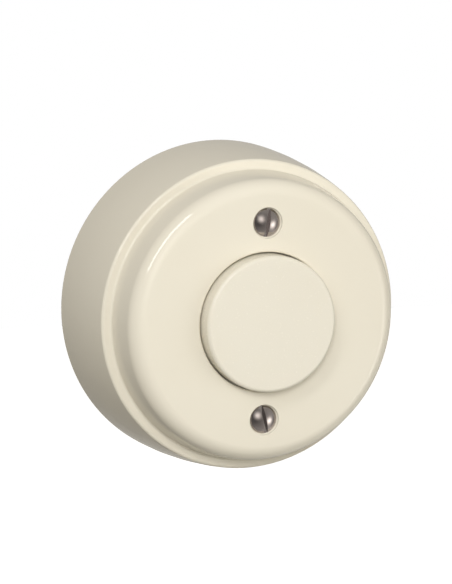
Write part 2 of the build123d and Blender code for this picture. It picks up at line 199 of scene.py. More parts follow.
def section(corners: Sequence[Corner], closed: bool) -> Solid:
    """Draws a half section in the plane z = 0 and rounds its corners.

    Args:
        corners: the corners in order.
        closed: whether the last corner joins the first.

    Returns:
        A mesh of plain edges.
    """
    bm = bmesh.new()
    points = [bm.verts.new((c.across, along_y(c.height), 0)) for c in corners]
    for first, second in zip(points, points[1:]):
        bm.edges.new((first, second))
    if closed:
        bm.edges.new((points[-1], points[0]))
    for corner, point in zip(corners, points):
        if corner.round_by > 0:
            before, after = (e.other_vert(point).co for e in point.link_edges)
            turn = math.pi - (before - point.co).angle(after - point.co)
            bmesh.ops.bevel(
                bm,
                geom=[point],
                affect="VERTICES",
                offset=corner.round_by * math.tan(turn / 2),
                offset_type="OFFSET",
                segments=max(ARC_LEAST, round(math.degrees(turn) / ARC_STEP)),
                profile=0.5,
                material=-1,
            )
    return bm


def turned(corners: Sequence[Corner], steps: int, centre: Place = AXIS, closed: bool = True) -> Solid:
    """Turns a half section about an axis parallel to Y.

    Args:
        corners: the half section.
        steps: how many steps a full turn has.
        centre: X and Z of the axis.
        closed: False where the section starts and ends on the axis.

    Returns:
        A closed solid.
    """
    bm = section(corners, closed)
    bmesh.ops.spin(
        bm,
        geom=bm.verts[:] + bm.edges[:],
        cent=(0, 0, 0),
        axis=(0, 1, 0),
        angle=2 * math.pi,
        steps=steps,
        use_merge=True,
    )
    bmesh.ops.remove_doubles(bm, verts=bm.verts[:], dist=MERGE)
    bmesh.ops.translate(bm, verts=bm.verts[:], vec=(centre[0], 0, centre[1]))
    bmesh.ops.recalc_face_normals(bm, faces=bm.faces[:])
    return bm


def chamfered_bore(
    radius: float,
    foot: float,
    top: float,
    chamfer: float,
    steps: int,
    centre: Place = AXIS,
    foot_round: float = 0.0,
) -> Solid:
    """Makes the tool for a round hole that is chamfered at its mouth.

    Args:
        radius: the hole's radius.
        foot: the distance of its floor from the wall.
        top: the distance of its mouth.
        chamfer: the chamfer's width.
        steps: how many steps a full turn has.
        centre: X and Z of its axis.
        foot_round: the rounding of its floor.

    Returns:
        The tool.
    """
    past = top + CLEAR - chamfer
    return turned(
        (
            Corner(0, foot),
            Corner(radius, foot, foot_round),
            Corner(radius, top - chamfer),
            Corner(radius + CLEAR, past),
            Corner(0, past),
        ),
        steps,
        centre,
        closed=False,
    )


def block(size: Vector, centre: Vector, turn: float = 0.0) -> Solid:
    """Makes a box.

    Args:
        size: its size along X, Y and Z.
        centre: its middle.
        turn: its turn about Y through its middle, in degrees.

    Returns:
        A closed solid.
    """
    bm = bmesh.new()
    place = Matrix.Translation(centre) @ Matrix.Rotation(math.radians(turn), 4, "Y")
    bmesh.ops.create_cube(bm, size=1.0, matrix=place @ Matrix.Diagonal((*size, 1)))
    return bm


def rod(radius: float, start: Vector, end: Vector, sides: int = 48) -> Solid:
    """Makes a straight round rod between two points.

    Args:
        radius: its radius.
        start: the middle of one end.
        end: the middle of the other end.
        sides: how many sides it has.

    Returns:
        A closed solid.
    """
    bm = bmesh.new()
    run = end - start
    place = Matrix.Translation((start + end) / 2) @ run.to_track_quat("Z", "Y").to_matrix().to_4x4()
    bmesh.ops.create_cone(
        bm,
        cap_ends=True,
        segments=sides,
        radius1=radius,
        radius2=radius,
        depth=run.length,
        matrix=place,
    )
    return bm


def pin(radius: float, low: float, high: float, centre: Place = AXIS, sides: int = 48) -> Solid:
    """Makes a round rod parallel to Y.

    Args:
        radius: its radius.
        low: the distance of its near end from the wall.
        high: the distance of its far end from the wall.
        centre: X and Z of its axis.
        sides: how many sides it has.

    Returns:
        A closed solid.
    """
    start = Vector((centre[0], along_y(low), centre[1]))
    end = Vector((centre[0], along_y(high), centre[1]))
    return rod(radius, start, end, sides)


def to_object(bm: Solid, name: str) -> bpy.types.Object:
    """Puts a mesh into a new object at the origin.

    Args:
        bm: the mesh, which is used up.
        name: the object's name.

    Returns:
        The object.
    """
    mesh = bpy.data.meshes.new(name)
    bm.to_mesh(mesh)
    bm.free()
    piece = bpy.data.objects.new(name, mesh)
    bpy.context.scene.collection.objects.link(piece)
    return piece


def cut(bm: Solid, tool: Solid, how: Cut) -> Solid:
    """Cuts one solid with another, or joins them.

    Args:
        bm: the solid to change.
        tool: the other solid.
        how: whether the tool is taken away or joined.

    Returns:
        The changed solid. Both inputs are used up.
    """
    target = to_object(bm, "cut_target")
    other = to_object(tool, "cut_tool")
    step = target.modifiers.new("cut", "BOOLEAN")
    step.object = other
    step.operation = how.value
    step.solver = "EXACT"
    view = bpy.context.evaluated_depsgraph_get()
    result = bmesh.new()
    result.from_object(target, view)
    for used in (target, other):
        mesh = used.data
        bpy.data.objects.remove(used)
        bpy.data.meshes.remove(mesh)
    bmesh.ops.remove_doubles(result, verts=result.verts[:], dist=MERGE)
    return result


def drilled(
    bm: Solid,
    radius: float,
    low: float,
    high: float,
    centre: Place = AXIS,
    sides: int = 48,
) -> Solid:
    """Drills a round hole parallel to Y through a wall.

    Args:
        bm: the solid.
        radius: the hole's radius.
        low: the distance at which the wall starts.
        high: the distance at which it ends.
        centre: X and Z of the hole's axis.
        sides: how many sides the hole has.

    Returns:
        The drilled solid.
    """
    return cut(bm, pin(radius, low - CLEAR, high + CLEAR, centre, sides), Cut.AWAY)


def slotted(bm: Solid, size: Vector, top: float, centre: Place, turn: float = 0.0) -> Solid:
    """Cuts a driver's slot into a screw's head.

    Args:
        bm: the screw.
        size: the size of the block that cuts, twice as deep as the slot.
        top: the distance of the head's top from the wall.
        centre: X and Z of the screw's axis.
        turn: the slot's turn, in degrees.

    Returns:
        The slotted screw.
    """
    middle = Vector((centre[0], along_y(top), centre[1]))
    return cut(bm, block(size, middle, turn), Cut.AWAY)


def bevel_edges(bm: Solid, edges: Sequence[Edge], width: float, segments: int) -> None:
    """Rounds the given edges.

    Args:
        bm: the solid.
        edges: its edges to round.
        width: the bevel's width.
        segments: the bevel's segments.
    """
    bmesh.ops.bevel(
        bm,
        geom=list(edges),
        affect="EDGES",
        offset=width,
        offset_type="OFFSET",
        segments=segments,
        profile=0.5,
        clamp_overlap=True,
        material=-1,
    )


def ease(bm: Solid, width: float, segments: int, sharper_than: float = 60.0) -> None:
    """Rounds every edge that is sharper than an angle.

    Args:
        bm: the solid.
        width: the bevel's width.
        segments: the bevel's segments.
        sharper_than: the angle in degrees.
    """
    limit = math.radians(sharper_than)
    edges = [e for e in bm.edges if e.is_manifold and e.calc_face_angle() > limit]
    bevel_edges(bm, edges, width, segments)


def upright_edges(bm: Solid, longer_than: float) -> list[Edge]:
    """Finds the edges that rise from the wall by more than a length."""
    return [e for e in bm.edges if abs(e.verts[0].co.y - e.verts[1].co.y) > longer_than]


def ring_edges(bm: Solid, radius: float, height: float, centre: Place, reach: float = 0.02) -> list[Edge]:
    """Finds the edges of a ring about an axis parallel to Y.

    Args:
        bm: the solid.
        radius: the ring's radius.
        height: the ring's distance from the wall.
        centre: X and Z of the axis.
        reach: how far off the ring an edge may lie.

    Returns:
        The ring's edges.
    """

    def on_ring(v: bmesh.types.BMVert) -> bool:
        """Tells whether a corner lies on the ring."""
        away = math.hypot(v.co.x - centre[0], v.co.z - centre[1])
        return abs(away - radius) < reach and abs(v.co.y - along_y(height)) < reach

    return [e for e in bm.edges if on_ring(e.verts[0]) and on_ring(e.verts[1])]


def slab(prisms: Sequence[Solid], low: float, high: float, edge: float) -> Solid:
    """Joins upright prisms, keeps what lies between two distances from the wall and rounds its rims.

    Args:
        prisms: solids that reach past both distances, each by its own amount.
        low: the distance of the back.
        high: the distance of the front.
        edge: the rounding of both rims.

    Returns:
        A closed solid.
    """
    bm = prisms[0]
    for prism in prisms[1:]:
        bm = cut(bm, prism, Cut.JOIN)
    for height, outward in ((low, 1), (high, -1)):
        bmesh.ops.bisect_plane(
            bm,
            geom=bm.verts[:] + bm.edges[:] + bm.faces[:],
            plane_co=(0, along_y(height), 0),
            plane_no=(0, outward, 0),
            clear_outer=True,
        )
        bmesh.ops.holes_fill(bm, edges=[e for e in bm.edges if e.is_boundary], sides=0)
    bmesh.ops.recalc_face_normals(bm, faces=bm.faces[:])
    ends = (along_y(low), along_y(high))
    near = edge / 10
    square = math.radians(45)
    rims = [
        e
        for e in bm.edges
        if any(all(abs(v.co.y - end) < near for v in e.verts) for end in ends)
        and e.calc_face_angle() > square
    ]
    bevel_edges(bm, rims, edge, segments=2)
    return bm


def gather(bm: Solid, other: Solid) -> Solid:
    """Puts a second solid into the same mesh.

    Args:
        bm: the first solid.
        other: the second solid, which is used up.

    Returns:
        The mesh with both.
    """
    mesh = bpy.data.meshes.new("gathered")
    other.to_mesh(mesh)
    other.free()
    bm.from_mesh(mesh)
    bpy.data.meshes.remove(mesh)
    return bm


def coil(bm: Solid, stages: Sequence[tuple[float, float]], steps: int, centre: Place = AXIS) -> Solid:
    """Sweeps a closed outline along a helix about an axis parallel to Y.

    Args:
        bm: the outline, drawn in the plane z = 0 about the Y axis.
        stages: turns and rise away from the wall of each part of the helix.
        steps: steps a turn.
        centre: X and Z of the axis.

    Returns:
        A closed solid.
    """
    moving = bm.verts[:] + bm.edges[:]
    for turns, rise in stages:
        count = max(1, round(turns * steps))
        swept = bmesh.ops.spin(
            bm,
            geom=moving,
            cent=(0, 0, 0),
            axis=(0, 1, 0),
            dvec=(0, along_y(rise) / count, 0),
            angle=2 * math.pi * turns,
            steps=count,
            use_merge=False,
        )
        moving = swept["geom_last"]
    bmesh.ops.holes_fill(bm, edges=[e for e in bm.edges if e.is_boundary], sides=0)
    bmesh.ops.translate(bm, verts=bm.verts[:], vec=(centre[0], 0, centre[1]))
    bmesh.ops.recalc_face_normals(bm, faces=bm.faces[:])
    return bm


@dataclass(frozen=True)
class Thread:
    """A screw thread's ridge. Its foot lies just inside the core, whose radius is the root."""

    crest: float
    root: float
    pitch: float
    start: float
    end: float
    foot_share: float = 0.46
    crown_share: float = 0.07
    sunk: float = 0.06
    steps: int = 24

    def wound_on(self, bm: Solid, centre: Place) -> Solid:
        """Winds the ridge round a screw's core.

        Args:
            bm: the screw.
            centre: X and Z of its axis.

        Returns:
            The screw with its thread.
        """
        foot = self.foot_share * self.pitch
        crown = self.crown_share * self.pitch
        inside = self.root - self.sunk
        low = self.start + foot
        ridge = section(
            (
                Corner(inside, low - foot),
                Corner(self.crest, low - crown),
                Corner(self.crest, low + crown),
                Corner(inside, low + foot),
            ),
            closed=True,
        )
        rise = self.end - self.start - 2 * foot
        return gather(bm, coil(ridge, ((rise / self.pitch, rise),), self.steps, centre))


@dataclass(frozen=True)
class Wire:
    """A round wire that is bent along a path of corners."""

    radius: float
    bend: float
    sides: int = 14
    bend_steps: int = 8

    def along(self, points: Sequence[Vector]) -> Solid:
        """Bends the wire.

        Args:
            points: the path's corners.

        Returns:
            A closed solid.
        """
        bm = bmesh.new()
        way = (points[1] - points[0]).normalized()
        place = Matrix.Translation(points[0]) @ way.to_track_quat("Z", "Y").to_matrix().to_4x4()
        bmesh.ops.create_circle(bm, cap_ends=False, segments=self.sides, radius=self.radius, matrix=place)
        ring = bm.edges[:]
        here = points[0]
        for corner, after in zip(points[1:], [*points[2:], None]):
            following = way if after is None else (after - corner).normalized()
            turn = way.angle(following)
            setback = self.bend * math.tan(turn / 2)
            run = bmesh.ops.extrude_edge_only(bm, edges=ring)["geom"]
            ring = [e for e in run if isinstance(e, Edge)]
            moved = [v for v in run if isinstance(v, bmesh.types.BMVert)]
            bmesh.ops.translate(bm, verts=moved, vec=corner - setback * way - here)
            here = corner + setback * following
            if after is not None:
                axis = way.cross(following).normalized()
                swept = bmesh.ops.spin(
                    bm,
                    geom=moved + ring,
                    cent=corner - setback * way + self.bend * axis.cross(way),
                    axis=axis,
                    angle=turn,
                    steps=self.bend_steps,
                    use_merge=False,
                )["geom_last"]
                ring = [e for e in swept if isinstance(e, Edge)]
                way = following
        bmesh.ops.holes_fill(bm, edges=[e for e in bm.edges if e.is_boundary], sides=0)
        bmesh.ops.recalc_face_normals(bm, faces=bm.faces[:])
        return bm


def publish(
    bm: Solid,
    name: str,
    body: Body,
    material: Material,
    stands_for: Sequence[str] = (),
    smooth_to: float = 32.0,
) -> bpy.types.Object:
    """Makes a finished piece of a solid: its size in metres, shading, finish and body.

    Args:
        bm: the solid, in millimetres.
        name: the piece's name.
        body: the body that it rides on.
        material: its finish.
        stands_for: the CAD nodes that it replaces.
        smooth_to: edges up to this angle are shaded smooth, in degrees.

    Returns:
        The piece.
    """
    bmesh.ops.scale(bm, vec=(MM, MM, MM), verts=bm.verts[:])
    for face in bm.faces:
        face.smooth = True
    piece = to_object(bm, name)
    piece.data.set_sharp_from_angle(angle=math.radians(smooth_to))
    piece.data.materials.append(material)
    weights = piece.modifiers.new("even_shading", "WEIGHTED_NORMAL")
    weights.keep_sharp = True
    weights.weight = SHADING_WEIGHT
    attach(piece, body.value)
    if stands_for:
        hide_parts(*stands_for)
    log.info("%s: %d faces on %s", name, len(piece.data.polygons), body.value)
    return piece


class Graph:
    """A node tree that is filled step by step."""

    def __init__(self, tree: bpy.types.NodeTree) -> None:
        """Empties the tree."""
        self.tree = tree
        tree.nodes.clear()

    def add(self, kind: str, inputs: Optional[dict] = None, **properties: object) -> bpy.types.Node:
        """Adds a node.

        Args:
            kind: the node's type name.
            inputs: what its sockets get: a value, or another node's output.
            properties: the node's own settings.

        Returns:
            The node.
        """
        node = self.tree.nodes.new(kind)
        for key, value in properties.items():
            setattr(node, key, value)
        for key, value in (inputs or {}).items():
            socket = node.inputs[key]
            if isinstance(value, Socket):
                self.tree.links.new(value, socket)
            else:
                socket.default_value = value
        return node

    def place(self, centre: Sequence[float] = (0.0, 0.0, 0.0), scale: float = 1.0) -> Socket:
        """Gives Object coordinates about a point.

        Args:
            centre: the pattern's middle, in metres.
            scale: how much the coordinates grow.

        Returns:
            The coordinates.
        """
        spot = self.add("ShaderNodeTexCoord").outputs["Object"]
        shift = tuple(-scale * c for c in centre)
        mapping = self.add("ShaderNodeMapping", {"Vector": spot, "Location": shift, "Scale": (scale,) * 3})
        return mapping.outputs["Vector"]

    def noise(self, spot: Socket, scale: float, detail: float) -> Socket:
        """Adds a noise pattern and gives its value."""
        node = self.add("ShaderNodeTexNoise", {"Vector": spot, "Scale": scale, "Detail": detail})
        return node.outputs["Fac"]

    def spread(self, value: Socket, low: float, high: float) -> Socket:
        """Spreads a pattern of 0.3 to 0.7 over a range."""
        sockets = {"Value": value, "From Min": 0.3, "From Max": 0.7, "To Min": low, "To Max": high}
        return self.add("ShaderNodeMapRange", sockets).outputs["Result"]

    def blend(self, factor: Socket, first: Colour, second: Colour) -> Socket:
        """Blends two colours by a pattern.

        Args:
            factor: the pattern.
            first: the colour where it is 0.
            second: the colour where it is 1.

        Returns:
            The blended colour.
        """
        # A colour mix has its colours in sockets 6 and 7 and its result in output 2.
        node = self.add("ShaderNodeMix", data_type="RGBA")
        self.tree.links.new(factor, node.inputs[0])
        node.inputs[6].default_value = (*first, 1)
        node.inputs[7].default_value = (*second, 1)
        return node.outputs[2]

    def bump(self, value: Socket, depth: float, strength: float, under: Optional[Socket] = None) -> Socket:
        """Turns a pattern into a bumpy normal.

        Args:
            value: the pattern.
            depth: how deep it is, in metres.
            strength: how much of it shows.
            under: the normal of coarser bumps that it lies on.

        Returns:
            The normal.
        """
        sockets = {"Height": value, "Distance": depth, "Strength": strength}
        if under is not None:
            sockets["Normal"] = under
        return self.add("ShaderNodeBump", sockets).outputs["Normal"]

    def surface(self, inputs: dict) -> None:
        """Ends the graph in a Principled shader."""
        shader = self.add("ShaderNodeBsdfPrincipled", inputs)
        self.add("ShaderNodeOutputMaterial", {"Surface": shader.outputs["BSDF"]})


def new_material(name: str) -> tuple[Material, Graph]:
    """Makes an empty node material.

    Args:
        name: its name.

    Returns:
        The material and its graph.
    """
    material = bpy.data.materials.new(name)
    material.use_nodes = True
    return material, Graph(material.node_tree)


@dataclass(frozen=True)
class Moulding:
    """A moulded plastic: two close shades, a gloss that varies and a faint waviness.

    Depths and the reach of light in the plastic are in metres.
    """

    name: str
    shade: Colour
    other_shade: Colour
    smoothest: float
    roughest: float
    glow: float = 0.0
    glow_colour: Colour = (1.0, 0.8, 0.5)
    glow_reach: float = 0.0012
    cloud_scale: float = 45.0
    wave_scale: float = 160.0
    wave_depth: float = 0.00002
    wave_strength: float = 0.15
    grain_scale: float = 2600.0
    grain_depth: float = 0.00001
    grain_strength: float = 0.02

    def make(self) -> Material:
        """Builds the material.

        Returns:
            The material.
        """
        material, graph = new_material(self.name)
        spot = graph.place()
        cloud = graph.noise(spot, self.cloud_scale, detail=4.0)
        fine = graph.noise(spot, self.grain_scale, detail=2.0)
        wave = graph.noise(spot, self.wave_scale, detail=1.0)
        waves = graph.bump(wave, self.wave_depth, self.wave_strength)
        inputs = {
            "Base Color": graph.blend(graph.spread(cloud, 0.0, 1.0), self.shade, self.other_shade),
            "Roughness": graph.spread(fine, self.smoothest, self.roughest),
            "Normal": graph.bump(fine, self.grain_depth, self.grain_strength, waves),
            "IOR": 1.5,
        }
        if self.glow:
            inputs["Subsurface Weight"] = self.glow
            inputs["Subsurface Radius"] = self.glow_colour
            inputs["Subsurface Scale"] = self.glow_reach
        graph.surface(inputs)
        return material


@dataclass(frozen=True)
class Plating:
    """A plated or bare metal: turning marks about an axis, fine scratches and a dull film.

    Depths are in metres.
    """

    name: str
    bright: Colour
    dull: Colour
    smoothest: float
    roughest: float
    film_scale: float = 420.0
    ring_scale: float = 4200.0
    ring_depth: float = 0.000004
    ring_strength: float = 0.12
    grain_scale: float = 3800.0
    grain_depth: float = 0.00001
    grain_strength: float = 0.1

    def make(self, centre: Place = AXIS) -> Material:
        """Builds the material.

        Args:
            centre: X and Z of the turning marks' axis, in millimetres.

        Returns:
            The material.
        """
        material, graph = new_material(self.name)
        spot = graph.place((centre[0] * MM, 0, centre[1] * MM))
        film = graph.noise(spot, self.film_scale, detail=5.0)
        fine = graph.noise(spot, self.grain_scale, detail=3.0)
        rings = graph.add(
            "ShaderNodeTexWave",
            {"Vector": spot, "Scale": self.ring_scale, "Distortion": 1.5, "Detail": 2.0},
            wave_type="RINGS",
            rings_direction="Y",
        )
        marks = graph.bump(rings.outputs["Fac"], self.ring_depth, self.ring_strength)
        graph.surface(
            {
                "Base Color": graph.blend(graph.spread(film, 0.0, 1.0), self.bright, self.dull),
                "Metallic": 1.0,
                "Roughness": graph.spread(fine, self.smoothest, self.roughest),
                "Normal": graph.bump(fine, self.grain_depth, self.grain_strength, marks),
            }
        )
        return material


@dataclass(frozen=True)
class Glass:
    """Thin clear glass with a faint smoky film."""

    name: str = "lamp_glass"
    tint: Colour = (0.93, 0.94, 0.93)
    smoke: float = 0.9
    film_scale: float = 500.0
    smoothest: float = 0.02
    roughest: float = 0.06
    clearness: float = 0.9

    def make(self) -> Material:
        """Builds the material.

        Returns:
            The material.
        """
        material, graph = new_material(self.name)
        film = graph.noise(graph.place(), self.film_scale, detail=3.0)
        graph.surface(
            {
                "Base Color": graph.blend(film, self.tint, tuple(self.smoke * c for c in self.tint)),
                "Roughness": graph.spread(film, self.smoothest, self.roughest),
                "IOR": 1.47,
                "Transmission Weight": self.clearness,
            }
        )
        return material


@dataclass(frozen=True)
class Banded:
    """A lacquered barrel with painted bands across X.

    The first band starts at a place along X, and the pitch leads to the next one, in millimetres.
    A band reaches from its lead to its share of the pitch.
    """

    name: str
    lacquer: Colour
    paints: tuple[Colour, ...]
    start: float
    pitch: float
    lead: float = 0.02
    share: float = 0.55
    grain_scale: float = 1500.0
    grain_depth: float = 0.00001
    grain_strength: float = 0.1
    smoothest: float = 0.22
    roughest: float = 0.34
    coat: float = 0.3

    def make(self) -> Material:
        """Builds the material.

        Returns:
            The material.
        """
        material, graph = new_material(self.name)
        count = len(self.paints)
        spot = graph.place((self.start * MM, 0, 0), 1 / (self.pitch * MM * count))
        along = graph.add("ShaderNodeSeparateXYZ", {"Vector": spot}).outputs["X"]
        ramp = graph.add("ShaderNodeValToRGB", {"Fac": along})
        ramp.color_ramp.interpolation = "CONSTANT"
        steps = ramp.color_ramp.elements
        steps[0].color = (*self.lacquer, 1)
        steps[1].position = 1.0
        steps[1].color = (*self.lacquer, 1)
        for turn, paint in enumerate(self.paints):
            steps.new((turn + self.lead) / count).color = (*paint, 1)
            steps.new((turn + self.share) / count).color = (*self.lacquer, 1)
        fine = graph.noise(graph.place(), self.grain_scale, detail=2.0)
        graph.surface(
            {
                "Base Color": ramp.outputs["Color"],
                "Roughness": graph.spread(fine, self.smoothest, self.roughest),
                "Normal": graph.bump(fine, self.grain_depth, self.grain_strength),
                "Coat Weight": self.coat,
            }
        )
        return material


@dataclass(frozen=True)
class Finishes:
    """Every finish of the bell push."""

    cover: Moulding = Moulding("cream_moulding", (0.80, 0.755, 0.643), (0.79, 0.741, 0.624), 0.05, 0.08)
    button: Moulding = Moulding(
        "cream_translucent", (0.80, 0.760, 0.655), (0.79, 0.746, 0.636), 0.20, 0.28, glow=0.03
    )
    base: Moulding = Moulding("base_moulding", (0.78, 0.725, 0.60), (0.76, 0.70, 0.57), 0.2, 0.32)
    dark: Moulding = Moulding("dark_moulding", (0.042, 0.034, 0.028), (0.03, 0.025, 0.022), 0.3, 0.45)
    nylon: Moulding = Moulding("white_nylon", (0.78, 0.77, 0.71), (0.74, 0.73, 0.67), 0.35, 0.5, glow=0.1)
    nickel: Plating = Plating("nickel_plate", (0.60, 0.555, 0.555), (0.47, 0.425, 0.425), 0.10, 0.20)
    solder: Plating = Plating("soft_solder", (0.66, 0.66, 0.67), (0.50, 0.50, 0.52), 0.18, 0.34)
    wire: Plating = Plating("spring_wire", (0.48, 0.48, 0.49), (0.30, 0.30, 0.31), 0.25, 0.4)
    brass: Plating = Plating("brass_stock", (0.75, 0.56, 0.27), (0.55, 0.38, 0.17), 0.22, 0.4)
    silver: Plating = Plating("silver_contact", (0.83, 0.82, 0.79), (0.55, 0.53, 0.50), 0.2, 0.35)
    glass: Glass = Glass()
    lacquer: Banded = Banded(
        "resistor_lacquer",
        (0.62, 0.47, 0.30),
        ((0.45, 0.22, 0.05), (0.02, 0.02, 0.02), (0.62, 0.50, 0.04), (0.55, 0.38, 0.10)),
        start=5.6,
        pitch=1.4,
    )


@dataclass
class Cover:
    """The moulded cover: drum, land, step and rounded face, hollow behind.

    Heights are distances from the wall. All sizes are in millimetres.
    """

    finishes: Finishes
    rim_radius: float = 31.99
    rim_edge_round: float = 0.3
    shoulder_radius: float = 30.3
    shoulder_height: float = 19.2
    shoulder_round: float = 0.6
    belly_height: float = 8.8
    belly_round: float = 96.0
    step_radius: float = 28.45
    step_fillet: float = 0.5
    face_edge_radius: float = 26.9
    face_round: float = 3.2
    face_thickness: float = 2.8
    wall: float = 2.6
    inner_chamfer: float = 0.8
    button_hole_radius: float = 13.45
    button_hole_round: float = 0.45
    boss_radius: float = 3.8
    boss_height: float = 4.7
    screw_hole_radius: float = 1.65
    sink_radius: float = 3.0
    sink_wall: float = 0.4
    sink_edge: float = 0.12
    knockout_radius: float = 4.5
    knockout_height: float = 4.5
    knockout_web: float = 1.4
    steps: int = 192
    hole_steps: int = 72

    def __post_init__(self) -> None:
        """Takes the face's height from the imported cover."""
        low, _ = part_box("cover")
        self.face_height: float = -low.y / MM
        self.face_inside: float = self.face_height - self.face_thickness
        self.boss_foot: float = self.face_inside - self.boss_height

    def shell(self) -> Solid:
        """Turns the cover's section.

        Returns:
            The shell without its holes.
        """
        inner_face = self.face_edge_radius - self.wall
        inner_step = self.shoulder_height - self.wall
        inner_drum = self.shoulder_radius - self.wall
        return turned(
            (
                Corner(self.rim_radius - self.wall, 0),
                Corner(self.rim_radius, 0, self.rim_edge_round),
                Corner(self.rim_radius, self.belly_height, self.belly_round),
                Corner(self.shoulder_radius, self.shoulder_height, self.shoulder_round),
                Corner(self.step_radius, self.shoulder_height, self.step_fillet),
                Corner(self.face_edge_radius, self.face_height, self.face_round),
                Corner(self.button_hole_radius, self.face_height, self.button_hole_round),
                Corner(self.button_hole_radius, self.face_inside),
                Corner(inner_face - self.inner_chamfer, self.face_inside),
                Corner(inner_face, self.face_inside - self.inner_chamfer),
                Corner(self.step_radius - self.wall, inner_step),
                Corner(inner_drum - self.inner_chamfer, inner_step),
                Corner(inner_drum, inner_step - self.inner_chamfer),
            ),
            self.steps,
        )

    def screw_hole(self, end: End) -> Solid:
        """Makes the tool for a countersunk screw hole.

        Args:
            end: where the hole is.

        Returns:
            The tool.
        """
        sink_top = self.face_height - self.sink_wall
        sink_foot = sink_top - (self.sink_radius - self.screw_hole_radius)
        return turned(
            (
                Corner(0, self.boss_foot - CLEAR),
                Corner(self.screw_hole_radius, self.boss_foot - CLEAR),
                Corner(self.screw_hole_radius, sink_foot),
                Corner(self.sink_radius, sink_top),
                Corner(self.sink_radius, self.face_height + CLEAR),
                Corner(0, self.face_height + CLEAR),
            ),
            self.hole_steps,
            LAYOUT.cover_screw(end),
            closed=False,
        )

    def knockout(self, end: End) -> Solid:
        """Makes the tool that thins the wall behind a cable knock-out.

        Args:
            end: where the knock-out is.

        Returns:
            The tool, an arch that stands on the wall.
        """
        outer = end.value * (self.rim_radius - self.knockout_web)
        inner = outer - end.value * self.wall
        arch = rod(
            self.knockout_radius,
            Vector((0, along_y(self.knockout_height), inner)),
            Vector((0, along_y(self.knockout_height), outer)),
        )
        size = Vector((2 * self.knockout_radius, self.knockout_height + CLEAR, self.wall))
        middle = Vector((0, along_y((self.knockout_height - CLEAR) / 2), (inner + outer) / 2))
        return cut(arch, block(size, middle), Cut.JOIN)

    def build(self) -> None:
        """Builds and dresses the cover."""
        bm = self.shell()
        for end in End:
            boss = pin(self.boss_radius, self.boss_foot, self.face_inside + CLEAR, LAYOUT.cover_screw(end))
            bm = cut(bm, boss, Cut.JOIN)
        for end in End:
            bm = cut(bm, self.screw_hole(end), Cut.AWAY)
            bm = cut(bm, self.knockout(end), Cut.AWAY)
            rim = ring_edges(bm, self.sink_radius, self.face_height, LAYOUT.cover_screw(end))
            bevel_edges(bm, rim, self.sink_edge, segments=3)
        publish(bm, "moulded_cover", Body.HOUSING, self.finishes.cover.make(), ["cover"])


@dataclass
class Button:
    """The translucent cap, its retaining flange and the collar that seats on the plunger."""

    finishes: Finishes
    radius: float = 13.2
    edge_round: float = 0.75
    wall: float = 1.6
    inner_round: float = 0.3
    flange_width: float = 1.4
    flange_top: float = 24.4
    flange_bottom: float = 22.9
    flange_edge: float = 0.2
    collar_bore: float = 8.65
    collar_wall: float = 1.25
    collar_edge: float = 0.15
    collar_fillet: float = 0.2
    ledge: float = 1.2
    ledge_height: float = 26.5
    steps: int = 160

    def __post_init__(self) -> None:
        """Takes the front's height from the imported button."""
        low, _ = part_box("push_button")
        self.front: float = -low.y / MM

    def build(self) -> None:
        """Builds and dresses the button."""
        inside = self.front - self.wall
        bore = self.radius - self.wall
        flange = self.radius + self.flange_width
        light_hole = self.collar_bore - self.ledge
        collar = self.collar_bore + self.collar_wall
        bm = turned(
            (
                Corner(0, inside),
                Corner(light_hole, inside, self.collar_fillet),
                Corner(light_hole, self.ledge_height),
                Corner(self.collar_bore, self.ledge_height),
                Corner(self.collar_bore, self.flange_bottom, self.collar_edge),
                Corner(collar, self.flange_bottom, self.collar_edge),
                Corner(collar, inside, self.collar_fillet),
                Corner(bore, inside, self.inner_round),
                Corner(bore, self.flange_bottom, self.flange_edge),
                Corner(flange, self.flange_bottom, self.flange_edge),
                Corner(flange, self.flange_top, self.flange_edge),
                Corner(self.radius, self.flange_top),
                Corner(self.radius, self.front, self.edge_round),
                Corner(0, self.front),
            ),
            self.steps,
            closed=False,
        )
        material = self.finishes.button.make()
        publish(bm, "button_cap", Body.BUTTON, material, ["push_button"])


